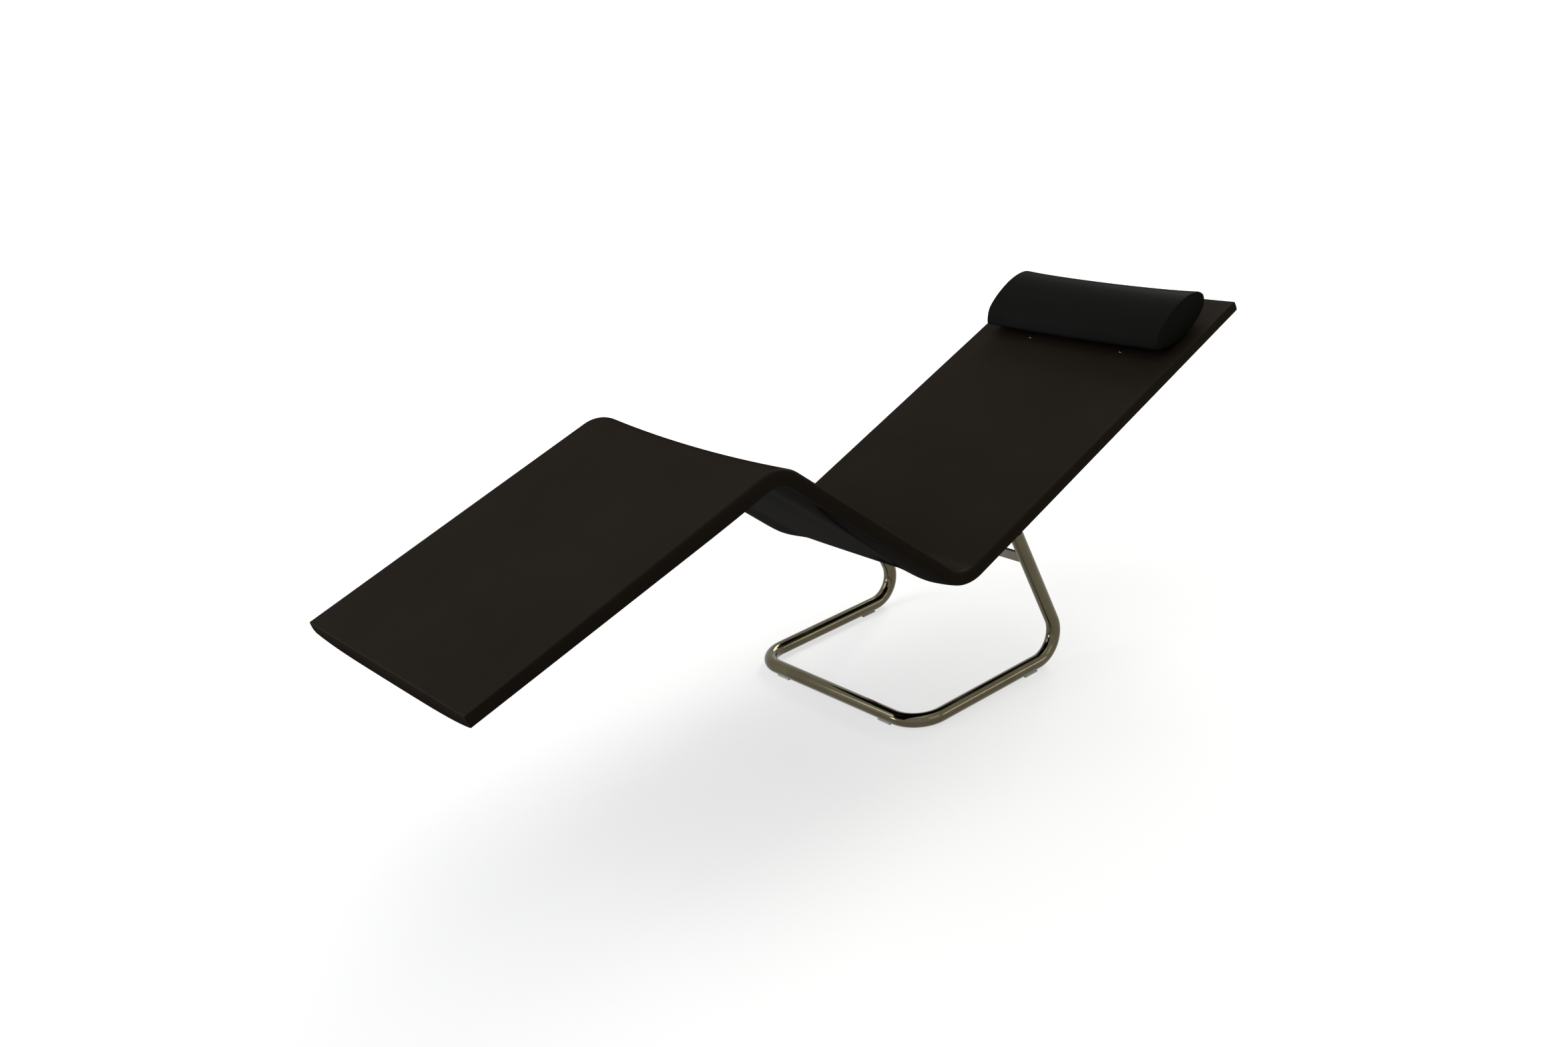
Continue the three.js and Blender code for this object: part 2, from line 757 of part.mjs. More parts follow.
function bracketSolid() {
  const { flangeWidth, flangeLength, webLength, plateThickness, lugLength, lugDepth } = bracket;
  const barrel = crossCylinder(barrelRadius, bracket.barrelLength, axle.sides);
  const flangeLow = flangeBottom - axleOnBack.z;
  const flangeHigh = flangeTop - axleOnBack.z;
  const halfPlate = plateThickness / 2;
  const flange = boxBetween(
    [-flangeWidth / 2, -flangeLength / 2, flangeLow],
    [flangeWidth / 2, flangeLength / 2, flangeHigh],
  );
  const web = boxBetween(
    [-halfPlate, -webLength / 2, 0],
    [halfPlate, webLength / 2, flangeHigh - bracket.flangeThickness / 2],
  );
  const lyingLug = boxBetween(
    [-halfPlate, lyingLugFace, -lugLength],
    [halfPlate, lyingLugFace + lugDepth, 0],
  );
  const sittingLug = boxBetween(
    [-halfPlate, sittingLugFace - lugDepth, -lugLength],
    [halfPlate, sittingLugFace, bracket.shoulderRise],
  );
  const shoulder = boxBetween(
    [-halfPlate, sittingLugFace - lugDepth, -bracket.shoulderDrop],
    [halfPlate, 0, bracket.shoulderRise],
  );
  const body = join(
    barrel,
    flange,
    web,
    moved(lyingLug, lyingLugFrame),
    moved(join(sittingLug, shoulder), sittingLugFrame),
  );
  const bore = crossCylinder(bushRadius + fit.gap, 2 * bracket.barrelLength, axle.sides);
  const toAxle = movedTo(-bracket.middleX, -axleOnBack.y, -axleOnBack.z);
  return cut(body, bore, ...screwHolesOnBack.map((hole) => moved(hole, toAxle)));
}

function bushGeometry() {
  const inner = axle.diameter / 2 + fit.gap;
  const flangeStart = bracket.barrelLength / 2 + fit.gap;
  return crossRing(
    [
      [inner, -bracket.barrelLength / 2],
      [bushRadius, -bracket.barrelLength / 2],
      [bushRadius, flangeStart],
      [bushRadius + bush.flangeWidth, flangeStart],
      [bushRadius + bush.flangeWidth, flangeStart + bush.flangeThickness],
      [inner, flangeStart + bush.flangeThickness],
    ],
    axle.sides,
  );
}

// A stop buffer on the face of a lug, with the cross bar's face on its other side
function bufferSolid(frame, low, high) {
  const end = -bracket.lugLength + buffer.fromLugEnd;
  const halfPlate = bracket.plateThickness / 2;
  return moved(boxBetween([-halfPlate, low, end], [halfPlate, high, end + buffer.length]), frame);
}

// Headrest pieces, in the frame of the back

const boardBottom = headrestBoard.standOff;
const boardTop = boardBottom + headrestBoard.thickness;
const shoeFoot = seatTop(rail.middleX, headTravel - shoe.fromHead) + shoe.footGap;
const headrestMiddle = (headrest.lowerTip + headrest.upperTip) / 2;

// The section as [y, z] pairs, drawn in by an inset, its lowest point at the lift
function headrestSection(inset) {
  const { lowerTip, upperTip, chordClimb, thickness, lift } = headrest;
  const onChord = (share, offset) => [
    THREE.MathUtils.lerp(-lowerTip, -upperTip, share),
    share * chordClimb + offset * thickness,
  ];
  const crown = headrestOutlineShares.map(([along, above]) => onChord(along, above));
  const under = headrestOutlineShares.map(([along, , below]) => onChord(along, below)).reverse();
  const outline = [onChord(0, 0), ...crown, onChord(1, 0), ...under];
  const heights = outline.map(([, z]) => z);
  const low = Math.min(...heights);
  const high = Math.max(...heights);
  const alongScale = 1 - (2 * inset) / (lowerTip - upperTip);
  const heightScale = 1 - (2 * inset) / (high - low);
  return outline.map(([y, z]) => [
    -headrestMiddle + (y + headrestMiddle) * alongScale,
    lift - low + (low + high) / 2 + (z - (low + high) / 2) * heightScale,
  ]);
}

function headrestLoft(inset) {
  const end = headrest.halfLength - inset;
  const shoulder = end - headrest.endRounding;
  const places = [
    [-end, headrest.endPinch],
    ...evenly(-shoulder, shoulder, headrest.lengthSteps).map((x) => [x, 0]),
    [end, headrest.endPinch],
  ];
  const rings = places.map(([x, pinch]) => {
    const sag = seatTop(x, headTravel - headrestMiddle);
    return headrestSection(inset + pinch).map(([y, z]) => new THREE.Vector3(x, y, z + sag));
  });
  return loft(rings, headrestSection(inset + headrest.endPinch));
}

// The space of one shoe below the board, with a margin around it
function shoeBlock(margin, bottom, top) {
  return boxBetween(
    [rail.middleX - shoe.width / 2 - margin, -shoe.fromHead - shoe.length / 2 - margin, bottom],
    [rail.middleX + shoe.width / 2 + margin, -shoe.fromHead + shoe.length / 2 + margin, top],
  );
}

const shoeRooms = bothSides(shoeBlock(fit.gap, shoeFoot - fit.overrun, boardBottom));

function headrestCover() {
  return cut(headrestLoft(0), headrestLoft(headrest.coverGauge), ...shoeRooms);
}

function boardBlock(margin) {
  const { length, width } = headrestBoard;
  return boxBetween(
    [-length / 2 - margin, -shoe.fromHead - width / 2 - margin, boardBottom - margin],
    [length / 2 + margin, -shoe.fromHead + width / 2 + margin, boardTop + margin],
  );
}

function headrestFoam() {
  return cut(headrestLoft(headrest.coverGauge + fit.gap), boardBlock(fit.gap), ...shoeRooms);
}

const shoeScrewSeat = shoeFoot + shoeScrew.headHeight + fit.gap;
const shoeScrewPlaces = [-1, 1].map((side) => [rail.middleX + side * shoeScrew.offset, -shoe.fromHead]);

// The space of a shoe screw, its shank and its head recess
function shoeScrewHole([x, y]) {
  const margin = fit.gap;
  const profile = [
    [0, -fit.overrun],
    [shoeScrew.headRadius + margin, -fit.overrun],
    [shoeScrew.headRadius + margin, margin],
    [shoeScrew.shankRadius + margin, margin],
    [shoeScrew.shankRadius + margin, boardBottom + shoeScrew.bite + margin - shoeScrewSeat],
    [0, boardBottom + shoeScrew.bite + margin - shoeScrewSeat],
  ];
  return solidOf(turned(profile, 2 * shoeScrew.sides).translate(x, y, shoeScrewSeat));
}

const shoeScrewHoles = shoeScrewPlaces.map((place) => shoeScrewHole(place));

function headrestBoardSolid() {
  return cut(boardBlock(0), ...shoeScrewHoles.flatMap((hole) => bothSides(hole)));
}

function shoeSolid() {
  const block = shoeBlock(0, shoeFoot, boardBottom - fit.gap);
  const clip = boxBetween(
    [rail.middleX - clipHalf, -shoe.fromHead - shoe.length / 2, railAxisHeight - clipHalf],
    [rail.middleX + clipHalf, -shoe.fromHead + shoe.length / 2, shoeFoot + shoe.footGap],
  );
  const mouth = boxBetween(
    [rail.middleX - shoe.mouth / 2, -shoe.fromHead - shoe.length, railAxisHeight - fit.overrun],
    [rail.middleX + shoe.mouth / 2, -shoe.fromHead + shoe.length, railAxisHeight],
  );
  return cut(join(block, clip), mouth, railRod(fit.gap, fit.overrun), ...shoeScrewHoles);
}

function shoeScrewGeometry() {
  const profile = [
    [0, -shoeScrew.headHeight],
    [shoeScrew.headRadius, -shoeScrew.headHeight],
    [shoeScrew.headRadius, 0],
    [shoeScrew.shankRadius, 0],
    [shoeScrew.shankRadius, boardBottom + shoeScrew.bite - shoeScrewSeat],
    [0, boardBottom + shoeScrew.bite - shoeScrewSeat],
  ];
  return turned(profile, shoeScrew.sides);
}

// Scene graph: left is the sitter's left, on the +X side

const chaise = new THREE.Group();

function frameGroup(y, z, angle) {
  const group = new THREE.Group();
  group.position.set(0, y, z);
  group.rotation.x = angle;
  chaise.add(group);
  return group;
}

const upright = frameGroup(0, 0, 0);
const leaning = frameGroup(axleY, axleZ, base.uprightLean);
const onBack = frameGroup(headEnd.y, headEnd.z, seat.backRise);
const onAxle = frameGroup(axleY, axleZ, seat.backRise);

function piece(parent, name, shape, finish, [x, y, z] = [0, 0, 0]) {
  const geometry = shape.isBufferGeometry ? shape : geometryOf(shape);
  const mesh = new THREE.Mesh(geometry, new THREE.MeshStandardMaterial(finishes[finish]));
  mesh.name = name;
  mesh.position.set(x, y, z);
  parent.add(mesh);
}

const sides = [
  { name: "right", sign: -1 },
  { name: "left", sign: 1 },
];

// A piece for each side, made on the left and mirrored to the right
function pair(parent, name, shape, finish) {
  piece(parent, `${name}_left`, shape, finish);
  piece(parent, `${name}_right`, mirrored(shape), finish);
}

// Base
piece(upright, "base_tube", baseTube(), "stainless");
piece(upright, "cross_bar", crossBarSolid(), "stainless");
piece(upright, "axle", axleSolid(), "stainless");
const rearGlide = glideSolid();
const frontGlide = moved(rearGlide, new THREE.Matrix4().makeRotationZ(Math.PI / 2));
const rearBendLength = base.rearBendRadius * Math.tan((Math.PI / 2 + base.uprightLean) / 2);
const glideX = base.halfWidth - base.frontBendRadius - glide.fromBend - glide.length / 2;
const glideY = rearCornerY - rearBendLength - glide.fromBend - glide.length / 2;
for (const { name, sign } of sides) {
  const x = sign * base.halfWidth;
  const frontPlace = [sign * glideX, frontBarY, 0];
  const rearPlace = [x, glideY, 0];
  piece(upright, `floor_glide_front_${name}`, frontGlide, "paleNylon", frontPlace);
  piece(upright, `floor_glide_rear_${name}`, rearGlide, "paleNylon", rearPlace);
  piece(leaning, `tube_cap_${name}`, tubeCapGeometry(), "blackNylon", [x, 0, base.uprightPastAxle]);
}
const collarStart = bracket.middleX + bracket.barrelLength / 2 + bush.flangeThickness + 2 * fit.gap;
const collarOnAxle = solidOf(collarGeometry().translate(collarStart, 0, 0));
pair(onAxle, "axle_collar", collarOnAxle, "zincSteel");

// Seat
piece(upright, "seat_cover", seatCover(), "seatLeather");
piece(upright, "seat_foam", seatFoam(), "foam");
piece(upright, "under_shell", underShell(), "glossShell");
pair(upright, "stringer", stringerSolid(), "blackSteel");
pair(onAxle, "bracket", moved(bracketSolid(), movedTo(bracket.middleX, 0, 0)), "blackSteel");
pair(onAxle, "axle_bush", solidOf(bushGeometry().translate(bracket.middleX, 0, 0)), "blackNylon");
const lyingBuffer = bufferSolid(lyingLugFrame, barRear + fit.gap, lyingLugFace - fit.gap);
const sittingBuffer = bufferSolid(sittingLugFrame, sittingLugFace + fit.gap, barFront - fit.gap);
pair(onAxle, "lying_buffer", moved(lyingBuffer, movedTo(bracket.middleX, 0, 0)), "blackRubber");
pair(onAxle, "sitting_buffer", moved(sittingBuffer, movedTo(bracket.middleX, 0, 0)), "blackRubber");
for (const { name, sign } of sides) {
  screwPlaces.forEach(([x, y], index) => {
    const place = [sign * x, y, screwSeat];
    piece(onBack, `bracket_screw_${name}_${index + 1}`, bracketScrewGeometry(), "zincSteel", place);
  });
}
pair(onBack, "rail_tray", traySolid(), "blackNylon");
pair(onBack, "headrest_rail", railRod(0, 0), "stainless");

// Headrest
piece(onBack, "headrest_cover", headrestCover(), "headrestLeather");
piece(onBack, "headrest_foam", headrestFoam(), "foam");
piece(onBack, "headrest_board", headrestBoardSolid(), "plywood");
pair(onBack, "slide_shoe", shoeSolid(), "blackNylon");
for (const { name, sign } of sides) {
  shoeScrewPlaces.forEach(([x, y], index) => {
    const place = [sign * x, y, shoeScrewSeat];
    piece(onBack, `shoe_screw_${name}_${index + 1}`, shoeScrewGeometry(), "zincSteel", place);
  });
}

// The origin stands on the floor under the middle of the whole object
const wholeBox = new THREE.Box3().setFromObject(chaise, true);
chaise.position.y = -(wholeBox.min.y + wholeBox.max.y) / 2;

export default chaise;
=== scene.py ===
import math

import bmesh
import bpy
import numpy
from mathutils import Matrix, Vector


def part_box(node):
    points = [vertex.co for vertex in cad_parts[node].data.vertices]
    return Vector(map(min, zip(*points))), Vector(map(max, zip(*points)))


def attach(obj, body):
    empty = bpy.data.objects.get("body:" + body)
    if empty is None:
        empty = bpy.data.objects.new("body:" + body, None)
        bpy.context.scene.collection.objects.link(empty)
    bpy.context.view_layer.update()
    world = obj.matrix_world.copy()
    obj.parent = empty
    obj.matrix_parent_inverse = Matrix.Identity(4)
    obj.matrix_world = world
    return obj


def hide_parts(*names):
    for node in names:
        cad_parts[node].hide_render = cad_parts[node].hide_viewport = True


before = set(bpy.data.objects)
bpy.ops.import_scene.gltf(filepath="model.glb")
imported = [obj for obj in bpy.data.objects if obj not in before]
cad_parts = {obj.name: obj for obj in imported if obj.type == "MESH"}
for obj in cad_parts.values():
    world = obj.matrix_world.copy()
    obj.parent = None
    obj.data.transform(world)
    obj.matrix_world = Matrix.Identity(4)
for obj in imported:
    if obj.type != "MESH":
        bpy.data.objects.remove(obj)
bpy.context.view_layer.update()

# Chaise longue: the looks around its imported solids. Metres, Z up, the sitter's left on +X.
# Sizes along the seat are counted from the foot end's top edge, and footY says where that is.

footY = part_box("seat_cover")[0].y
gap = 0.0003  # between faces that touch

camera = {
    "place": (2.2285, -0.8564, 1.4809),
    "yaw": 0.92548,
    "pitch": 0.37088,
    "roll": -0.13282,
    "focalPixels": 2407.2,
    "imageWidth": 2349,
    "sensorWidth": 36,
}


def placeCamera():
    yaw, pitch, roll = camera["yaw"], camera["pitch"], camera["roll"]
    back = Vector((math.sin(yaw) * math.cos(pitch), -math.cos(yaw) * math.cos(pitch), math.sin(pitch)))
    level = Vector((0, 0, 1)).cross(back).normalized()
    upright = back.cross(level)
    right = level * math.cos(roll) + upright * math.sin(roll)
    up = upright * math.cos(roll) - level * math.sin(roll)
    data = bpy.data.cameras.new("camera")
    data.sensor_width = camera["sensorWidth"]
    data.lens = camera["focalPixels"] / camera["imageWidth"] * camera["sensorWidth"]
    obj = bpy.data.objects.new("camera", data)
    bpy.context.scene.collection.objects.link(obj)
    turn = Matrix((right, up, back)).transposed().to_4x4()
    obj.matrix_world = Matrix.Translation(Vector(camera["place"]) + Vector((0, footY, 0))) @ turn
    bpy.context.scene.camera = obj


placeCamera()
print("camera placed")


# Mesh tools

def makePiece(name, points, faces):
    mesh = bpy.data.meshes.new(name)
    mesh.from_pydata([tuple(point) for point in points], [], faces)
    turnOutward(mesh)
    obj = bpy.data.objects.new(name, mesh)
    bpy.context.scene.collection.objects.link(obj)
    return obj


def turnOutward(mesh):
    work = bmesh.new()
    work.from_mesh(mesh)
    bmesh.ops.recalc_face_normals(work, faces=work.faces)
    work.to_mesh(mesh)
    work.free()


def loftRings(name, rings):
    # closed rings of equal count, with a flat face on the first and the last
    count = len(rings[0])
    points = [point for ring in rings for point in ring]
    faces = [list(range(count)), list(range(len(points) - count, len(points)))]
    for start in range(0, len(points) - count, count):
        for i in range(count):
            j = (i + 1) % count
            faces.append([start + i, start + j, start + count + j, start + count + i])
    return makePiece(name, points, faces)


def roundOff(obj, angle=30):
    obj.data.shade_smooth()
    obj.data.set_sharp_from_angle(angle=math.radians(angle))


def applyModifiers(obj):
    graph = bpy.context.evaluated_depsgraph_get()
    mesh = bpy.data.meshes.new_from_object(obj.evaluated_get(graph))
    obj.modifiers.clear()
    obj.data = mesh


def cutWith(obj, operation, tools):
    for tool in tools:
        change = obj.modifiers.new(operation.lower(), "BOOLEAN")
        change.operation = operation
        change.solver = "EXACT"
        change.object = tool
    applyModifiers(obj)
    for tool in tools:
        bpy.data.objects.remove(tool)


def blockBetween(name, low, high, place):
    corners = [
        place @ Vector((x, y, z))
        for z in (low[2], high[2])
        for x, y in ((low[0], low[1]), (high[0], low[1]), (high[0], high[1]), (low[0], high[1]))
    ]
    return loftRings(name, [corners[:4], corners[4:]])


def boxOnFrame(nodeName, place):
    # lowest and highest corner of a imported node, along the axes of a turned frame
    toFrame = place.inverted()
    corners = [toFrame @ vertex.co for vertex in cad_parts[nodeName].data.vertices]
    low = Vector([min(corner[axis] for corner in corners) for axis in range(3)])
    high = Vector([max(corner[axis] for corner in corners) for axis in range(3)])
    return low, high


def arcPoints(x, height, radius, fromDegrees, toDegrees, steps):
    angles = [math.radians(fromDegrees + (toDegrees - fromDegrees) * i / steps) for i in range(steps + 1)]
    return [(x + radius * math.cos(angle), height + radius * math.sin(angle)) for angle in angles]


def roundIn(radius, distance):
    # how far a round edge lies in at a distance from the end
    left = min(max(radius - distance, 0), radius)
    return radius - math.sqrt(radius * radius - left * left)


# Materials

def newMaterial(name, values):
    material = bpy.data.materials.new(name)
    material.use_nodes = True
    shader = material.node_tree.nodes["Principled BSDF"]
    for socket, value in values.items():
        shader.inputs[socket].default_value = value
    return material


def addNode(material, kind, values=None, **settings):
    node = material.node_tree.nodes.new(kind)
    for setting, value in settings.items():
        setattr(node, setting, value)
    for socket, value in (values or {}).items():
        node.inputs[socket].default_value = value
    return node


def link(material, output, socket):
    material.node_tree.links.new(output, socket)


def objectPlace(material, stretch=(1, 1, 1), turn=(0, 0, 0)):
    place = addNode(material, "ShaderNodeTexCoord")
    mapping = addNode(material, "ShaderNodeMapping", {"Scale": stretch, "Rotation": turn})
    link(material, place.outputs["Object"], mapping.inputs["Vector"])
    return mapping.outputs["Vector"]


def noiseAt(material, place, scale, detail=3, roughness=0.5):
    values = {"Scale": scale, "Detail": detail, "Roughness": roughness}
    noise = addNode(material, "ShaderNodeTexNoise", values)
    link(material, place, noise.inputs["Vector"])
    return noise.outputs["Fac"]


def spread(material, value, low, high, fromLow=0.3, fromHigh=0.7):
    ranged = addNode(
        material,
        "ShaderNodeMapRange",
        {"From Min": fromLow, "From Max": fromHigh, "To Min": low, "To Max": high},
    )
    link(material, value, ranged.inputs["Value"])
    return ranged.outputs["Result"]


def mixColours(material, share, first, second):
    mix = addNode(material, "ShaderNodeMix", data_type="RGBA")
    link(material, share, mix.inputs[0])
    for socket, colour in ((mix.inputs[6], first), (mix.inputs[7], second)):
        if isinstance(colour, tuple):
            socket.default_value = (*colour, 1)
        else:
            link(material, colour, socket)
    return mix.outputs[2]


def bumpOn(material, heights):
    # heights are (value, depth in metres, strength), laid over each other
    last = None
    for value, depth, strength in heights:
        bump = addNode(material, "ShaderNodeBump", {"Distance": depth, "Strength": strength})
        link(material, value, bump.inputs["Height"])
        if last:
            link(material, last, bump.inputs["Normal"])
        last = bump.outputs["Normal"]
    shader = material.node_tree.nodes["Principled BSDF"]
    link(material, last, shader.inputs["Normal"])
    link(material, last, shader.inputs["Coat Normal"])


# How far past its start, on the way from facing to edge on, the gloss is full and begins to fade
sheenSteps = {"full": 0.22, "fading": 0.24}


def coatByFacing(material, sheen):
    # gloss that grows on slanted faces and fades where the surface turns away, as a fine grain's does
    turned = addNode(material, "ShaderNodeLayerWeight", {"Blend": 0.5})
    facing = turned.outputs["Facing"]
    start = sheen["growFrom"]
    full, fadeFrom = start + sheenSteps["full"], start + sheenSteps["fading"]
    growing = spread(material, facing, sheen["straight"], sheen["slanted"], start, full)
    fading = spread(material, facing, 1, sheen["edge"] / sheen["slanted"], fadeFrom, sheen["fadeTo"])
    weight = addNode(material, "ShaderNodeMath", operation="MULTIPLY")
    link(material, growing, weight.inputs[0])
    link(material, fading, weight.inputs[1])
    setFrom(material, "Coat Weight", weight.outputs["Value"])


def setFrom(material, socket, output):
    link(material, output, material.node_tree.nodes["Principled BSDF"].inputs[socket])


def leather(name, colours, roughness, sheen, grain, rubbedAndHighlightShare=0.0):
    material = newMaterial(name, {"Specular IOR Level": 0.0, "Coat Roughness": sheen["roughness"]})
    coatByFacing(material, sheen)
    place = objectPlace(material)
    creases = addNode(
        material,
        "ShaderNodeTexVoronoi",
        {"Scale": grain["cells"], "Randomness": 0.95},
        feature="DISTANCE_TO_EDGE",
    )
    link(material, place, creases.inputs["Vector"])
    pebble = spread(material, creases.outputs["Distance"], 0, 1, 0.0, 0.22)
    pores = noiseAt(material, place, grain["pores"], detail=3, roughness=0.6)
    drift = noiseAt(material, place, 5, detail=4, roughness=0.55)
    waves = noiseAt(material, place, grain["waves"], detail=2, roughness=0.45)
    wear = spread(material, drift, 0, 1, 0.35, 0.68)
    colour = mixColours(material, wear, colours["deep"], colours["worn"])
    colour = mixColours(material, spread(material, pebble, 0.35, 0, 0, 1), colour, colours["crease"])
    # a lighter line of rubbed wear and painted highlight along the round top edges
    if rubbedAndHighlightShare:
        rubbedAndHighlight = addNode(material, "ShaderNodeAttribute", attribute_name="rubbedAndHighlight")
        share = spread(material, rubbedAndHighlight.outputs["Fac"], 0, rubbedAndHighlightShare, 0, 1)
        colour = mixColours(material, share, colour, colours["rubbedAndHighlight"])
    setFrom(material, "Base Color", colour)
    setFrom(material, "Roughness", spread(material, drift, roughness[0], roughness[1], 0.3, 0.7))
    strength = grain["strength"]
    bumpOn(material, [(waves, 0.0012, 0.35), (pebble, 0.00008, strength), (pores, 0.00006, strength)])
    return material


def glossBlack(name, colours, roughness, sheen):
    # a slow flow of the moulding and a fine haze
    material = newMaterial(name, {"Specular IOR Level": 0.0, "Coat Roughness": sheen["roughness"]})
    coatByFacing(material, sheen)
    place = objectPlace(material)
    flow = noiseAt(material, place, 9, detail=2)
    haze = noiseAt(material, place, 160, detail=4, roughness=0.6)
    setFrom(material, "Base Color", mixColours(material, haze, *colours))
    setFrom(material, "Roughness", spread(material, haze, *roughness))
    bumpOn(material, [(flow, 0.0009, 0.25), (haze, 0.00002, 0.3)])
    return material


def satinSteel(name, stretch, colours, roughness):
    # fine drawing lines run along the tube, whose places come with the mesh
    material = newMaterial(name, {"Metallic": 1.0, "Specular IOR Level": 0.5})
    line = addNode(material, "ShaderNodeAttribute", attribute_name="tubeLine")
    mapping = addNode(material, "ShaderNodeMapping", {"Scale": stretch})
    link(material, line.outputs["Vector"], mapping.inputs["Vector"])
    lines = noiseAt(material, mapping.outputs["Vector"], 1, detail=3, roughness=0.6)
    stains = noiseAt(material, objectPlace(material), 14, detail=4, roughness=0.6)
    setFrom(material, "Base Color", mixColours(material, spread(material, stains, 0, 1), *colours))
    setFrom(material, "Roughness", spread(material, lines, *roughness))
    bumpOn(material, [(lines, 0.000004, 0.04)])
    return material


def brushedSteel(name, stretch, colours, roughness):
    material = newMaterial(name, {"Metallic": 1.0})
    place = objectPlace(material, stretch)
    lines = noiseAt(material, place, 1, detail=3, roughness=0.6)
    smudge = noiseAt(material, objectPlace(material), 22, detail=4, roughness=0.6)
    setFrom(material, "Base Color", mixColours(material, spread(material, smudge, 0, 1), *colours))
    setFrom(material, "Roughness", spread(material, lines, *roughness))
    bumpOn(material, [(lines, 0.00002, 0.15)])
    return material


def grainedPlastic(name, colours, roughness, grainScale, depth, specular=0.4):
    material = newMaterial(name, {"Specular IOR Level": specular})
    place = objectPlace(material)
    grain = noiseAt(material, place, grainScale, detail=3, roughness=0.6)
    dust = noiseAt(material, place, 35, detail=4, roughness=0.65)
    setFrom(material, "Base Color", mixColours(material, spread(material, dust, 0, 1), *colours))
    setFrom(material, "Roughness", spread(material, grain, *roughness))
    bumpOn(material, [(grain, depth, 0.5)])
    return material


def layeredPly(tilt):
    # thin bands of veneer across the board's thickness, and long grain on its faces
    material = newMaterial("boardPly", {"Specular IOR Level": 0.3})
    flat = objectPlace(material, turn=(-tilt, 0, 0))
    axes = addNode(material, "ShaderNodeSeparateXYZ")
    link(material, flat, axes.inputs["Vector"])
    veneers = {1: 3900.0}  # a wave of 1.6 mm across the board
    bands = addNode(material, "ShaderNodeMath", veneers, operation="MULTIPLY")
    link(material, axes.outputs["Z"], bands.inputs[0])
    wave = addNode(material, "ShaderNodeMath", operation="SINE")
    link(material, bands.outputs["Value"], wave.inputs[0])
    long = noiseAt(material, objectPlace(material, (9, 160, 160)), 1, detail=5, roughness=0.6)
    darker = spread(material, wave.outputs["Value"], 0, 0.45, -0.3, 0.9)
    colour = mixColours(material, spread(material, long, 0, 1), (0.42, 0.27, 0.13), (0.55, 0.38, 0.2))
    colour = mixColours(material, darker, colour, (0.25, 0.15, 0.07))
    setFrom(material, "Base Color", colour)
    setFrom(material, "Roughness", spread(material, long, 0.62, 0.8))
    bumpOn(material, [(long, 0.0001, 0.5)])
    return material


seatLeather = leather(
    "seatLeather",
    colours={
        "deep": (0.0158, 0.0118, 0.0082),
        "worn": (0.0187, 0.0143, 0.0104),
        "crease": (0.0108, 0.0081, 0.0057),
        # lighter colour for the rubbed wear and painted highlight along the top edges
        "rubbedAndHighlight": (0.03, 0.0255, 0.0235),
    },
    roughness=(0.5, 0.62),
    sheen={
        "straight": 0.04, "slanted": 0.06, "edge": 0,
        "growFrom": 0.3, "fadeTo": 0.88, "roughness": 0.46,
    },
    grain={"cells": 780, "pores": 2600, "waves": 11, "strength": 0.5},
    rubbedAndHighlightShare=0.6,
)
headrestLeather = leather(
    "headrestLeather",
    colours={
        "deep": (0.0096, 0.0098, 0.0089),
        "worn": (0.0112, 0.0115, 0.0103),
        "crease": (0.0068, 0.007, 0.0065),
    },
    roughness=(0.4, 0.5),
    sheen={
        "straight": 0.03, "slanted": 0.05, "edge": 0,
        "growFrom": 0.45, "fadeTo": 0.92, "roughness": 0.4,
    },
    grain={"cells": 900, "pores": 2600, "waves": 14, "strength": 0.35},
)
shellGloss = glossBlack(
    "glossShell",
    colours=((0.0102, 0.0084, 0.0066), (0.0134, 0.0111, 0.0087)),
    roughness=(0.13, 0.2),
    sheen={
        "straight": 0.3, "slanted": 0.1, "edge": 0.02,
        "growFrom": 0.28, "fadeTo": 0.76, "roughness": 0.12,
    },
)
tubeSteel = satinSteel(
    "satinSteel", (4, 420, 420), ((0.08, 0.069, 0.041), (0.108, 0.095, 0.061)), (0.09, 0.13)
)
plateSteel = brushedSteel(
    "plateSteel", (30, 1500, 1500), ((0.12, 0.1, 0.078), (0.155, 0.132, 0.105)), (0.24, 0.36)
)
roundSteel = brushedSteel(
    "roundSteel", (1800, 60, 60), ((0.36, 0.34, 0.29), (0.44, 0.42, 0.37)), (0.14, 0.24)
)
zincPlate = brushedSteel(
    "zincPlate", (420, 420, 420), ((0.5, 0.52, 0.53), (0.62, 0.64, 0.66)), (0.3, 0.42)
)
coatedSteel = grainedPlastic(
    "coatedSteel", ((0.011, 0.011, 0.012), (0.017, 0.017, 0.018)), (0.38, 0.5), 1500, 0.00006
)
blackNylon = grainedPlastic(
    "blackNylon", ((0.013, 0.013, 0.0135), (0.019, 0.019, 0.02)), (0.45, 0.6), 2200, 0.00004
)
paleNylon = grainedPlastic(
    "paleNylon", ((0.66, 0.65, 0.61), (0.75, 0.74, 0.7)), (0.4, 0.55), 2200, 0.00004
)
blackRubber = grainedPlastic(
    "blackRubber", ((0.009, 0.009, 0.009), (0.016, 0.0155, 0.015)), (0.7, 0.88), 1400, 0.00005, 0.25
)
print("materials made")


def finishPiece(obj, material, body, slot, *nodes):
    obj.data.materials.clear()
    obj.data.materials.append(material)
    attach(obj, body)
    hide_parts(*nodes)


# Seat: the lengths lie along its top edge, from corner to corner

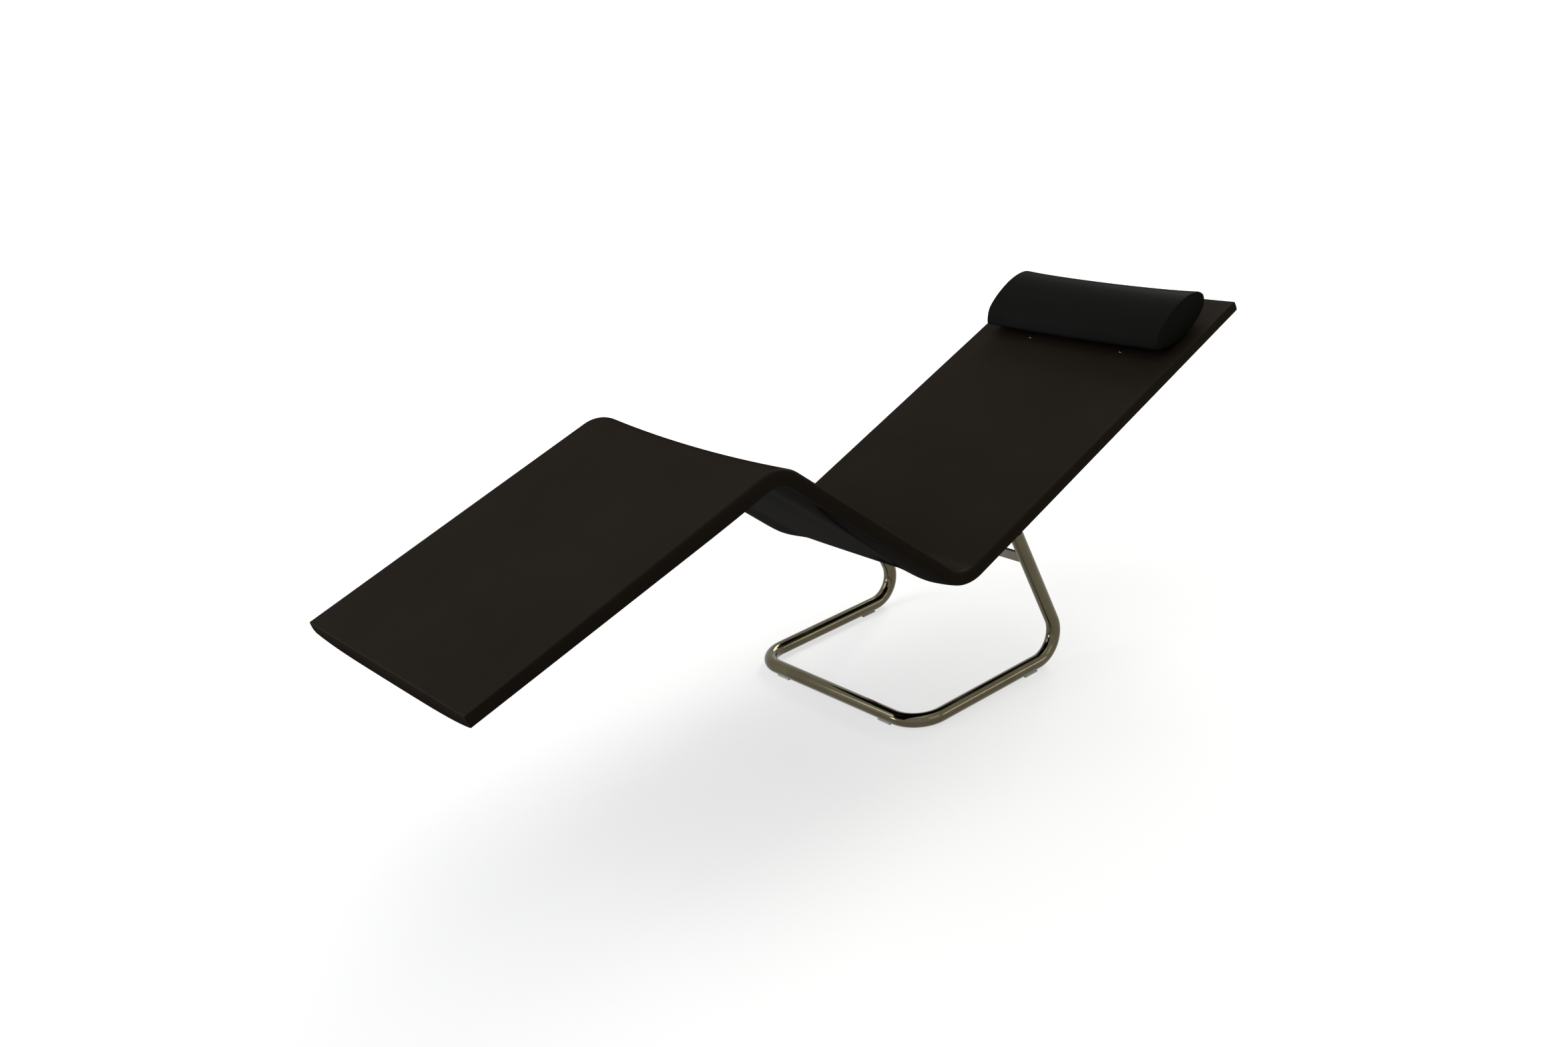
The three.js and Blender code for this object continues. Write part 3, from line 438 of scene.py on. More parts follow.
seat = {
    "width": 0.54,
    "footHeight": 0.4412,
    "legLength": 0.6604,
    "thighLength": 0.5114,
    "backLength": 0.8831,
    "legRise": math.radians(16.6),
    "thighFall": math.radians(42.2),
    "backRise": math.radians(20.4),
    "kneeRadius": 0.076,
    "hipRadius": 0.06,
    "shellGauge": 0.004,
    "shinShare": 0.8,  # where the shin lies between foot and knee
    "easing": 0.05,  # how far the changes along the seat are evened out
    "channelEdge": 0.47,  # where the channel's flank begins and how wide it is, as shares across
    "channelFlank": 0.35,
    "bellyRoundness": 0.85,
    "straightSpacing": 0.012,
    "bendSpacing": 0.003,
}
# Depth of the side face, dip of the top, belly of the underside, the channel along it, and the
# radius of the edge round the top
seatLevels = {
    "foot": {"sideDepth": 0.023, "topDip": 0, "belly": 0.014, "channel": 0, "edge": 0.0018},
    "shin": {"sideDepth": 0.03, "topDip": 0.0078, "belly": 0.013, "channel": 0, "edge": 0.006},
    "knee": {"sideDepth": 0.028, "topDip": 0.009, "belly": 0.012, "channel": 0.004, "edge": 0.007},
    "hip": {"sideDepth": 0.0272, "topDip": 0.0065, "belly": 0.012, "channel": 0.0104, "edge": 0.006},
    "backMiddle": {"sideDepth": 0.0236, "topDip": 0.0055, "belly": 0.012, "channel": 0.005, "edge": 0.0045},
    "head": {"sideDepth": 0.0206, "topDip": 0.005, "belly": 0.012, "channel": 0, "edge": 0.002},
}
halfWidth = seat["width"] / 2
kneeTurn = seat["legRise"] + seat["thighFall"]
hipTurn = seat["thighFall"] + seat["backRise"]
kneeTangent = seat["kneeRadius"] * math.tan(kneeTurn / 2)
hipTangent = seat["hipRadius"] * math.tan(hipTurn / 2)
seatRuns = [  # length and turn of the leg, the knee bend, the thigh, the hip bend and the back
    (seat["legLength"] - kneeTangent, 0),
    (seat["kneeRadius"] * kneeTurn, -kneeTurn),
    (seat["thighLength"] - kneeTangent - hipTangent, 0),
    (seat["hipRadius"] * hipTurn, hipTurn),
    (seat["backLength"] - hipTangent, 0),
]
kneeTravel = seatRuns[0][0] + seatRuns[1][0] / 2
hipTravel = kneeTravel + seatRuns[1][0] / 2 + seatRuns[2][0] + seatRuns[3][0] / 2
headTravel = sum(length for length, turn in seatRuns)
seatPlaces = [
    ("foot", 0),
    ("shin", kneeTravel * seat["shinShare"]),
    ("knee", kneeTravel),
    ("hip", hipTravel),
    ("backMiddle", (hipTravel + headTravel) / 2),
    ("head", headTravel),
]


def seatPoint(travel):
    y, z, heading, left = footY, seat["footHeight"], seat["legRise"], travel
    for length, turn in seatRuns:
        step = min(left, length)
        part = turn * step / length
        chord = step * math.sin(part / 2) / (part / 2) if part else step
        y += chord * math.cos(heading + part / 2)
        z += chord * math.sin(heading + part / 2)
        heading += part
        left -= step
    return y, z, heading


def alongSeat(level, travel):
    for (placeA, a), (placeB, b) in zip(seatPlaces, seatPlaces[1:]):
        if travel <= b or placeB == "head":
            share = min(max((travel - a) / (b - a), 0), 1)
            start, end = seatLevels[placeA][level], seatLevels[placeB][level]
            return start + (end - start) * share


def levelsAt(travel):
    # each level, evened out over its surroundings
    reach = max(min(seat["easing"], travel, headTravel - travel), 0)
    samples = [travel + reach * i / 4 for i in range(-4, 5)]
    return {
        level: sum(alongSeat(level, sample) for sample in samples) / len(samples)
        for level in seatLevels["foot"]
    }


def topAt(levels, x):
    return -levels["topDip"] * (1 - (x / halfWidth) ** 2)


def undersideAt(levels, x):
    share = min(abs(x) / halfWidth, 1)
    ramp = min(max((share - seat["channelEdge"]) / seat["channelFlank"], 0), 1)
    channel = levels["channel"] * (1 - ramp * ramp * (3 - 2 * ramp))
    return channel - levels["sideDepth"] - levels["belly"] * (1 - share**4) ** seat["bellyRoundness"]


def seatStations(start, endDistances):
    # close together round the bends and at the ends
    travels = []
    begin = 0
    for length, turn in seatRuns:
        steps = round(length / (seat["bendSpacing"] if turn else seat["straightSpacing"]))
        travels += [begin + length * i / steps for i in range(steps)]
        begin += length
    reach = start + endDistances[-1] + seat["bendSpacing"]
    inner = [travel for travel in travels if reach < travel < headTravel - reach]
    footEnd = [start + distance for distance in endDistances]
    return footEnd + inner + [headTravel - travel for travel in reversed(footEnd)]


def ringAt(travel, outline, shift=0.0):
    y, z, heading = seatPoint(travel)
    along = Vector((0, math.cos(heading), math.sin(heading)))
    off = Vector((0, -math.sin(heading), math.cos(heading)))
    return [Vector((x, y, z)) + off * height + along * shift for x, height in outline]


def bothHalves(half):
    # a half outline runs from the middle of the top to the middle of the underside
    return half + [(-x, height) for x, height in reversed(half[1:-1])]


pad = {
    "sideCrown": 0.0008,
    "foldRadius": 0.0012,
    "lipWidth": 0.0021,
    "endTopRadius": 0.0018,
    "endCornerRadius": 0.0016,
    "endFoldRadius": 0.0014,
    "endBulge": 0.0012,
    "endSqueezes": (0.8, 0.5, 0.2),
    "endTaper": 0.015,
    "endDistances": (0, 0.0002, 0.0006, 0.0012, 0.0018, 0.0022, 0.0024, 0.0033, 0.0044, 0.006),
    "topSteps": 26,
    "edgeSteps": 8,
    "sideSteps": 5,
    "foldSteps": 4,
    "underSteps": 22,
    "slotDepth": 0.01,  # how far each rail slot reaches beyond its tray, up and down
}
rubbedAndHighlightEdge = {  # a lighter line of rubbed wear and painted highlight: how far in from the sides and the foot end it lies, how wide, and its share at the sides
    "sideIn": 0.0035,
    "sideWidth": 0.004,
    "sideShare": 0.3,
    "footIn": 0.0007,
    "footWidth": 0.001,
    "leastUp": 0.1,  # faces that look up no more than this get no rubbed wear or painted highlight
}


def padHalf(levels, topIn, sideIn, underIn, isHollow):
    side = halfWidth - sideIn
    shoulder = side - levels["edge"]
    steps = pad["topSteps"]
    half = [(shoulder * i / steps, topAt(levels, shoulder * i / steps) - topIn) for i in range(steps)]
    edgeHeight = topAt(levels, shoulder) - topIn - levels["edge"]
    half += arcPoints(shoulder, edgeHeight, levels["edge"], 90, 0, pad["edgeSteps"])
    foldHeight = underIn - levels["sideDepth"] + pad["foldRadius"]
    for i in range(1, pad["sideSteps"]):
        share = i / pad["sideSteps"]
        crown = pad["sideCrown"] * 4 * share * (1 - share)
        half.append((side + crown, edgeHeight + (foldHeight - edgeHeight) * share))
    half += arcPoints(side - pad["foldRadius"], foldHeight, pad["foldRadius"], 0, -90, pad["foldSteps"])
    lip = side - pad["lipWidth"]
    half.append((lip, undersideAt(levels, lip) + underIn))
    for i in range(pad["underSteps"] + 1):
        x = (lip - gap) * math.cos(math.pi / 2 * i / pad["underSteps"])
        raised = seat["shellGauge"] + gap if isHollow else underIn
        half.append((x, undersideAt(levels, x) + raised))
    return half


def padOutline(travel):
    levels = levelsAt(travel)
    fromEnd = min(travel, headTravel - travel)
    return bothHalves(
        padHalf(
            levels,
            roundIn(pad["endTopRadius"], fromEnd),
            roundIn(pad["endCornerRadius"], fromEnd),
            roundIn(pad["endFoldRadius"], fromEnd),
            fromEnd > pad["lipWidth"] + gap / 2,
        )
    )


def endRings(travel, away):
    # the end face, slightly full, squeezed onto its middle line
    levels = levelsAt(travel)
    rings = []
    for squeeze in pad["endSqueezes"]:
        outline = []
        for x, height in padOutline(travel):
            middle = (topAt(levels, x) + undersideAt(levels, x)) / 2
            taper = pad["endTaper"] * (1 - squeeze)
            outline.append((x * (1 - taper), middle + (height - middle) * squeeze))
        rings.append(ringAt(travel, outline, away * pad["endBulge"] * (1 - squeeze**2)))
    return rings


def makeSeatPad():
    travels = seatStations(0, pad["endDistances"])
    rings = [ringAt(travel, padOutline(travel)) for travel in travels]
    footFace = endRings(0, -1)
    headFace = endRings(headTravel, 1)
    obj = loftRings("seat_pad", footFace[::-1] + rings + headFace)
    room = Vector((gap, gap, pad["slotDepth"]))
    slots = []
    for side in ("left", "right"):
        low, high = boxOnFrame(f"rail_tray_{side}", backPlace)
        slots.append(blockBetween("slot", low - room, high + room, backPlace))
    cutWith(obj, "DIFFERENCE", slots)
    markRubbedAndHighlight(obj)
    roundOff(obj, 40)
    return obj


def markRubbedAndHighlight(obj):
    # rubbed wear and a painted highlight, both lighter, along the round top edges of faces that look up
    attribute = obj.data.attributes.new("rubbedAndHighlight", "FLOAT", "POINT")
    endY, endZ, heading = seatPoint(0)
    values = []
    for vertex in obj.data.vertices:
        fromSide = halfWidth - abs(vertex.co.x)
        fromFoot = (vertex.co.y - endY) * math.cos(heading) + (vertex.co.z - endZ) * math.sin(heading)
        side = bell(fromSide, rubbedAndHighlightEdge["sideIn"], rubbedAndHighlightEdge["sideWidth"]) * rubbedAndHighlightEdge["sideShare"]
        foot = bell(fromFoot, rubbedAndHighlightEdge["footIn"], rubbedAndHighlightEdge["footWidth"])
        values.append(max(side, foot) if vertex.normal.z > rubbedAndHighlightEdge["leastUp"] else 0)
    attribute.data.foreach_set("value", values)


def bell(distance, middle, width):
    return math.exp(-((distance - middle) / width) ** 2)


headEndY, headEndZ, headHeading = seatPoint(headTravel)
backPlace = Matrix.Translation((0, headEndY, headEndZ)) @ Matrix.Rotation(headHeading, 4, "X")

seatPad = makeSeatPad()
finishPiece(seatPad, seatLeather, "seat", "seat_leather", "seat_cover", "seat_foam")
print("seat pad made,", len(seatPad.data.polygons), "faces")

shell = {
    "inset": 0.0023,
    "edgeRadius": 0.0015,
    "endDistances": (0, 0.0002, 0.0006, 0.0015),
    "topSteps": 6,
    "edgeSteps": 5,
    "underSteps": 40,
    "bossRise": 0.0045,
}


def shellHalf(levels, underIn):
    side = halfWidth - shell["inset"]
    steps = shell["topSteps"]
    half = []
    for i in range(steps + 1):
        x = side * math.sin(math.pi / 2 * i / steps)
        half.append((x, undersideAt(levels, x) + seat["shellGauge"]))
    keel = side - shell["edgeRadius"]
    keelHeight = undersideAt(levels, keel) + shell["edgeRadius"] + underIn
    half += arcPoints(keel, keelHeight, shell["edgeRadius"], 0, -90, shell["edgeSteps"])
    for i in range(1, shell["underSteps"] + 1):
        x = keel * math.cos(math.pi / 2 * i / shell["underSteps"])
        half.append((x, undersideAt(levels, x) + underIn))
    return half


def makeShell():
    rings = []
    for travel in seatStations(shell["inset"], shell["endDistances"]):
        fromEnd = min(travel, headTravel - travel) - shell["inset"]
        half = shellHalf(levelsAt(travel), roundIn(shell["edgeRadius"], fromEnd))
        rings.append(ringAt(travel, bothHalves(half)))
    obj = loftRings("shell", rings)
    bosses = []
    for side in ("left", "right"):
        low, high = boxOnFrame(f"bracket_{side}", backPlace)
        face = high.z + gap  # a boss over each bracket, from its face up into the shell
        top = face + shell["bossRise"]
        bosses.append(blockBetween("boss", (low.x, low.y, face), (high.x, high.y, top), backPlace))
    cutWith(obj, "UNION", bosses)
    roundOff(obj, 40)
    return obj


underShell = makeShell()
finishPiece(underShell, shellGloss, "seat", "gloss_shell", "under_shell")
print("shell made,", len(underShell.data.polygons), "faces")


# Headrest: drawn in the frame of the back, whose Y runs up the back and Z off it

headrest = {
    "halfLength": 0.235,
    "lowerTip": 0.213,
    "upperTip": 0.042,
    "chordClimb": 0.016,
    "thickness": 0.069,
    "lift": 0.0016,
    "curveSteps": 7,
    "lengthSteps": 56,
    "slump": 0.0035,  # how far the crown sags halfway between the ends
    "shoeRoom": 0.02,  # how far each shoe's room is cut below it
}
# Cloth values of its cover, the frames it fills for, and how its movements are capped and evened
filling = {
    "cloth": {
        "quality": 6,
        "mass": 0.4,
        "tension_stiffness": 25,
        "compression_stiffness": 25,
        "shear_stiffness": 10,
        "bending_stiffness": 2,
        "use_pressure": True,
        "uniform_pressure_force": 4,
    },
    "frames": 20,
    "cap": 0.0014,
    "evenings": 60,
}
# Share along the chord from the lower tip, crown above it and belly below it as shares of thickness
headrestOutlineShares = [
    (0.04, 0.2, -0.07),
    (0.12, 0.38, -0.18),
    (0.27, 0.49, -0.34),
    (0.43, 0.535, -0.43),
    (0.6, 0.53, -0.485),
    (0.76, 0.46, -0.44),
    (0.88, 0.345, -0.36),
    (0.96, 0.19, -0.24),
]
# Sewn edge, as inset from the cover and distance from the end: end panel, seam, then the cover
sewnEdge = [
    (0.0034, 0.0),
    (0.0025, 0.0002),
    (0.0019, 0.0007),
    (0.0021, 0.0013),
    (0.0011, 0.0014),
    (0.0005, 0.0021),
    (0.0001, 0.0033),
    (0.0, 0.005),
]
endPanelShares = [(0.93, 0.0002), (0.8, 0.0006), (0.6, 0.001), (0.35, 0.0013), (0.12, 0.0014)]


def headrestSection():
    def onChord(share, offset):
        y = -headrest["lowerTip"] + (headrest["lowerTip"] - headrest["upperTip"]) * share
        return Vector((y, share * headrest["chordClimb"] + offset * headrest["thickness"]))

    crown = [onChord(share, above) for share, above, below in headrestOutlineShares]
    under = [onChord(share, below) for share, above, below in headrestOutlineShares]
    corners = [onChord(0, 0), *crown, onChord(1, 0), *reversed(under)]
    lowest = min(corner.y for corner in corners)
    corners = [corner + Vector((0, headrest["lift"] - lowest)) for corner in corners]
    count = len(corners)
    section = []
    for i in range(count):
        before, start, end, after = (corners[(i + k) % count] for k in (-1, 0, 1, 2))
        for step in range(headrest["curveSteps"]):
            section.append(smoothBetween(before, start, end, after, step / headrest["curveSteps"]))
    return section


def smoothBetween(before, start, end, after, share):
    # a curve through start and end whose slopes follow the spacing of the points round them
    widths = [max((b - a).length, 1e-6) ** 0.5 for a, b in ((before, start), (start, end), (end, after))]
    t0, t1 = 0, widths[0]
    t2 = t1 + widths[1]
    t3 = t2 + widths[2]
    t = t1 + (t2 - t1) * share
    a1 = before * ((t1 - t) / (t1 - t0)) + start * ((t - t0) / (t1 - t0))
    a2 = start * ((t2 - t) / (t2 - t1)) + end * ((t - t1) / (t2 - t1))
    a3 = end * ((t3 - t) / (t3 - t2)) + after * ((t - t2) / (t3 - t2))
    b1 = a1 * ((t2 - t) / (t2 - t0)) + a2 * ((t - t0) / (t2 - t0))
    b2 = a2 * ((t3 - t) / (t3 - t1)) + a3 * ((t - t1) / (t3 - t1))
    return b1 * ((t2 - t) / (t2 - t1)) + b2 * ((t - t1) / (t2 - t1))


def drawnIn(section, inset):
    # the section moved inward along its own normals
    count = len(section)
    area = sum(section[i - 1].x * section[i].y - section[i].x * section[i - 1].y for i in range(count))
    sign = 1 if area > 0 else -1
    moved = []
    for i in range(count):
        tangent = (section[(i + 1) % count] - section[i - 1]).normalized()
        moved.append(section[i] + Vector((-tangent.y, tangent.x)) * sign * inset)
    return moved


def headrestRing(section, x):
    middle = -(headrest["lowerTip"] + headrest["upperTip"]) / 2
    sag = topAt(levelsAt(headTravel + middle), x)
    slump = headrest["slump"] * (1 - (x / headrest["halfLength"]) ** 2)
    ring = []
    for point in section:
        crownShare = min(max(point.y / headrest["thickness"], 0), 1)
        ring.append(backPlace @ Vector((x, point.x, point.y + sag - slump * crownShare)))
    return ring


def makeHeadrest():
    section = headrestSection()
    centre = sum(section, Vector((0, 0))) / len(section)
    half = headrest["halfLength"]
    panelEdge = drawnIn(section, sewnEdge[0][0])
    sewnEnd = []
    for share, bulge in reversed(endPanelShares):
        sewnEnd.append((half + bulge, [centre + (point - centre) * share for point in panelEdge]))
    sewnEnd += [(half - distance, drawnIn(section, inset)) for inset, distance in sewnEdge]
    straight = half - 2 * sewnEdge[-1][1]
    steps = headrest["lengthSteps"]
    middle = [(straight - 2 * straight * i / steps, section) for i in range(steps + 1)]
    otherEnd = [(-x, outline) for x, outline in reversed(sewnEnd)]
    rings = [headrestRing(outline, x) for x, outline in sewnEnd + middle + otherEnd]
    obj = loftRings("headrest_pad", rings)
    fillHeadrest(obj, len(section))
    room = Vector((gap, gap, gap))
    below = Vector((0, 0, headrest["shoeRoom"]))
    rooms = []
    for side in ("left", "right"):
        low, high = boxOnFrame(f"slide_shoe_{side}", backPlace)
        rooms.append(blockBetween("room", low - room - below, high + room, backPlace))
    cutWith(obj, "DIFFERENCE", rooms)
    roundOff(obj, 38)
    return obj


def sewnRings(ringCount):
    # the rings of the sewn edge at both ends
    first = len(endPanelShares)
    oneEnd = list(range(first, first + len(sewnEdge)))
    return oneEnd + [ringCount - 1 - ring for ring in oneEnd]


def fillHeadrest(obj, count):
    # the cover filled a little by cloth simulation, its sewn edges held
    scene = bpy.context.scene
    rest = [vertex.co.copy() for vertex in obj.data.vertices]
    ringCount = len(rest) // count
    held = obj.vertex_groups.new(name="sewn")
    for ring in sewnRings(ringCount):
        held.add(list(range(ring * count, (ring + 1) * count)), 1.0, "REPLACE")
    cloth = obj.modifiers.new("cloth", "CLOTH")
    for setting, value in filling["cloth"].items():
        setattr(cloth.settings, setting, value)
    cloth.settings.vertex_group_mass = "sewn"
    cloth.settings.effector_weights.gravity = 0
    cloth.collision_settings.use_collision = False
    for number in range(filling["frames"]):
        scene.frame_set(number + 1)
    graph = bpy.context.evaluated_depsgraph_get()
    filled = [vertex.co.copy() for vertex in obj.evaluated_get(graph).data.vertices]
    obj.modifiers.clear()
    scene.frame_set(1)
    moves = numpy.array(filled) - numpy.array(rest)
    lengths = numpy.linalg.norm(moves, axis=1, keepdims=True)
    moves *= numpy.minimum(1, filling["cap"] / numpy.maximum(lengths, 1e-9))
    moves = evenedMoves(moves.reshape(ringCount, count, 3))
    for vertex, start, move in zip(obj.data.vertices, rest, moves.reshape(-1, 3)):
        vertex.co = start + Vector(move)
    obj.vertex_groups.clear()


def evenedMoves(moves):
    # puckers smoothed out of the filled cover, with its sewn edges held
    sewn = sewnRings(len(moves))
    for _ in range(filling["evenings"]):
        alongLength = (numpy.roll(moves, 1, axis=0) + numpy.roll(moves, -1, axis=0)) / 2
        alongLength[0], alongLength[-1] = moves[1], moves[-2]
        roundSection = (numpy.roll(moves, 1, axis=1) + numpy.roll(moves, -1, axis=1)) / 2
        moves = moves / 3 + alongLength / 3 + roundSection / 3
        moves[sewn] = 0
    return moves


headrestPad = makeHeadrest()
finishPiece(headrestPad, headrestLeather, "headrest", "headrest_leather", "headrest_cover", "headrest_foam")
print("headrest made,", len(headrestPad.data.polygons), "faces")


# Base: one bent tube with a front bar, floor rails and leaning uprights

base = {
    "radius": 0.014,
    "wall": 0.002,
    "halfWidth": 0.2367,
    "frontBarY": 0.8883,
    "rearCornerY": 1.2963,
    "railGap": 0.002,
    "lean": math.radians(21),
    "pastAxle": 0.0145,
    "frontBend": 0.062,
    "rearBend": 0.055,
    "sides": 48,
    "bendSteps": 24,
}
axleLow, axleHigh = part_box("axle")
axlePlace = (axleLow + axleHigh) / 2
uprightPlace = Matrix.Translation(axlePlace) @ Matrix.Rotation(base["lean"], 4, "X")
plugLow, plugHigh = boxOnFrame("tube_cap_left", uprightPlace)


def tubeCorners():
    height = base["railGap"] + base["radius"]
    top = uprightPlace @ Vector((base["halfWidth"], 0, base["pastAxle"]))
    rear = Vector((base["halfWidth"], base["rearCornerY"] + footY, height))
    front = Vector((base["halfWidth"], base["frontBarY"] + footY, height))
    half = [top, rear, front]
    return half + [Vector((-corner.x, corner.y, corner.z)) for corner in reversed(half)]


def bentPath(corners, radii, steps):
    # points of the tube's middle line, with the direction of the tube at each
    path = [(corners[0], (corners[1] - corners[0]).normalized())]
    for before, corner, after, radius in zip(corners, corners[1:], corners[2:], radii):
        inward = (corner - before).normalized()
        outward = (after - corner).normalized()
        turn = inward.angle(outward)
        start = corner - inward * radius * math.tan(turn / 2)
        side = (outward - inward * outward.dot(inward)).normalized()
        for i in range(steps + 1):
            angle = turn * i / steps
            point = start + inward * radius * math.sin(angle) + side * radius * (1 - math.cos(angle))
            path.append((point, inward * math.cos(angle) + side * math.sin(angle)))
    path.append((corners[-1], (corners[-1] - corners[-2]).normalized()))
    return path


def sweepTube(name, path, outer, inner, sides):
    # an outer and an inner ring at each point of the path, turned on without twist
    points, lines, faces = [], [], []
    normal = path[0][1].orthogonal().normalized()
    length = 0
    for index, (point, heading) in enumerate(path):
        if index:
            turn = path[index - 1][1].rotation_difference(heading)
            normal = turn @ normal
            length += (point - path[index - 1][0]).length
        side = heading.cross(normal)
        for radius in (outer, inner):
            for i in range(sides):
                angle = 2 * math.pi * i / sides
                across, up = radius * math.cos(angle), radius * math.sin(angle)
                points.append(point + normal * across + side * up)
                lines.append((length, across, up))
    ring = 2 * sides
    last = (len(path) - 1) * ring
    for i in range(sides):
        j = (i + 1) % sides
        for start in range(0, last, ring):
            within = start + sides
            faces.append([start + i, start + j, start + ring + j, start + ring + i])
            faces.append([within + j, within + i, within + ring + i, within + ring + j])
        for start in (0, last):
            faces.append([start + i, start + j, start + sides + j, start + sides + i])
    obj = makePiece(name, points, faces)
    attribute = obj.data.attributes.new("tubeLine", "FLOAT_VECTOR", "POINT")
    attribute.data.foreach_set("vector", [value for line in lines for value in line])
    roundOff(obj, 40)
    return obj


bendRadii = [base["rearBend"], base["frontBend"], base["frontBend"], base["rearBend"]]
tubePath = bentPath(tubeCorners(), bendRadii, base["bendSteps"])
baseLoop = sweepTube("base_loop", tubePath, base["radius"], base["radius"] - base["wall"], base["sides"])
finishPiece(baseLoop, tubeSteel, "base", "stainless", "base_tube")
print("base tube made")


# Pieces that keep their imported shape, with their edges broken

def dressedCopy(nodeName, bevel, angle=30):
    work = bmesh.new()
    work.from_mesh(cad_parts[nodeName].data)
    bmesh.ops.remove_doubles(work, verts=work.verts, dist=0.00002)
    bmesh.ops.dissolve_limit(work, angle_limit=math.radians(1), verts=work.verts, edges=work.edges)
    mesh = bpy.data.meshes.new(nodeName)
    work.to_mesh(mesh)
    work.free()
    obj = bpy.data.objects.new(f"{nodeName}_part", mesh)
    bpy.context.scene.collection.objects.link(obj)
    roundOff(obj, angle)
    if bevel:
        edge = obj.modifiers.new("edge", "BEVEL")
        edge.width = bevel
        edge.segments = 2
        edge.limit_method = "ANGLE"
        edge.angle_limit = math.radians(angle)
        edge.harden_normals = True
        applyModifiers(obj)
    return obj


def dress(names, bevel, material, body, slot, angle=30):
    for nodeName in names:
        finishPiece(dressedCopy(nodeName, bevel, angle), material, body, slot, nodeName)


def bothOf(*names):
    return [f"{name}_{side}" for name in names for side in ("left", "right")]


dress(["cross_bar"], 0.0006, plateSteel, "base", "stainless")
dress(["axle"], 0, roundSteel, "base", "stainless")
dress(bothOf("floor_glide_front", "floor_glide_rear"), 0.0009, paleNylon, "base", "pale_nylon", 40)
dress(bothOf("axle_collar"), 0.0005, zincPlate, "base", "zinc_steel", 40)
dress(bothOf("bracket"), 0.0006, coatedSteel, "seat", "black_steel", 40)
dress(bothOf("axle_bush"), 0.0003, blackNylon, "seat", "black_nylon", 40)
dress(bothOf("lying_buffer", "sitting_buffer"), 0.0009, blackRubber, "seat", "black_rubber")
dress(bothOf("stringer"), 0.0004, coatedSteel, "seat", "black_steel", 40)
dress(bothOf("rail_tray"), 0.0002, blackNylon, "seat", "black_nylon", 40)
dress(bothOf("slide_shoe"), 0.0003, blackNylon, "headrest", "black_nylon", 40)
boardPly = layeredPly(headHeading)
dress(["headrest_board"], 0.0005, boardPly, "headrest", "plywood", 40)
print("carried pieces dressed")


# Rails and screws

def turnedPiece(name, profile, place, sides, socket=None):
    # rings of (radius, height), then a six-sided socket sunk into the last one
    angles = [2 * math.pi * i / sides for i in range(sides)]

    def ring(radii, height):
        return [
            place @ Vector((radius * math.cos(angle), radius * math.sin(angle), height))
            for radius, angle in zip(radii, angles)
        ]

    rings = [ring([radius] * sides, height) for radius, height in profile]
    if socket:
        sector = math.pi / 3
        hexagon = [socket["halfAcross"] / math.cos((angle % sector) - sector / 2) for angle in angles]
        top = profile[-1][1]
        rings.append(ring(hexagon, top))
        rings.append(ring(hexagon, top + socket["depth"]))
    return loftRings(name, rings)


rail = {"chamfer": 0.0005, "sides": 32}
screws = {  # shank is the radius below the head, and head its height
    "bracket_screw": {"body": "seat", "count": 4, "shank": 0.003, "head": 0.0033},
    "shoe_screw": {"body": "headrest", "count": 2, "shank": 0.0018, "head": 0.002},
}
screwSockets = {
    "bracket_screw": {"halfAcross": 0.002, "depth": 0.0018},
    "shoe_screw": {"halfAcross": 0.001, "depth": 0.0011},
}
screwHead = [(1, 0.3), (0.92, 0.66), (0.76, 0.9), (0.6, 1)]  # shares of its radius and of its height
screwEnd = {"chamfer": 0.0005, "sides": 36}
plug = {"chamfer": 0.001, "round": 0.0003, "sides": 48}


def makeRail(side):
    node = f"headrest_rail_{side}"
    low, high = boxOnFrame(node, backPlace)
    radius = (high.z - low.z) / 2
    middle = (low + high) / 2
    half = (high.y - low.y) / 2
    place = backPlace @ Matrix.Translation(middle) @ Matrix.Rotation(math.pi / 2, 4, "X")
    chamfer = rail["chamfer"]
    profile = [
        (radius - chamfer, -half),
        (radius, -half + chamfer),
        (radius, half - chamfer),
        (radius - chamfer, half),
    ]
    obj = turnedPiece(f"{node}_part", profile, place, rail["sides"])
    roundOff(obj, 30)
    finishPiece(obj, roundSteel, "seat", "stainless", node)


def makeScrew(kind, node):
    low, high = boxOnFrame(node, backPlace)
    middle = (low + high) / 2
    radius = (high.x - low.x) / 2
    shank, head = screws[kind]["shank"], screws[kind]["head"]
    underHead = low.z + head
    place = backPlace @ Matrix.Translation((middle.x, middle.y, 0))
    profile = [
        (shank - screwEnd["chamfer"], high.z),
        (shank, high.z - screwEnd["chamfer"]),
        (shank, underHead),
        (radius, underHead),
    ]
    profile += [(radius * across, underHead - head * down) for across, down in screwHead]
    screw = turnedPiece(f"{node}_part", profile, place, screwEnd["sides"], screwSockets[kind])
    roundOff(screw, 28)
    finishPiece(screw, zincPlate, screws[kind]["body"], "zinc_steel", node)


def makePlug(side, across):
    # a plug pressed into the tube's open end, a little below its rim
    place = uprightPlace @ Matrix.Translation((across, 0, 0))
    radius = base["radius"] - base["wall"] - gap
    chamfer, rounding = plug["chamfer"], plug["round"]
    profile = [
        (radius - chamfer, plugLow.z),
        (radius, plugLow.z + chamfer),
        (radius, plugHigh.z - chamfer),
        (radius - rounding, plugHigh.z - rounding),
        (radius - chamfer, plugHigh.z),
    ]
    obj = turnedPiece(f"tube_cap_{side}_part", profile, place, plug["sides"])
    roundOff(obj, 50)
    finishPiece(obj, blackNylon, "base", "black_nylon", f"tube_cap_{side}")


makePlug("left", base["halfWidth"])
makePlug("right", -base["halfWidth"])
for side in ("left", "right"):
    makeRail(side)
    for kind, screw in screws.items():
        for number in range(screw["count"]):
            makeScrew(kind, f"{kind}_{side}_{number + 1}")
print("rails and screws made")


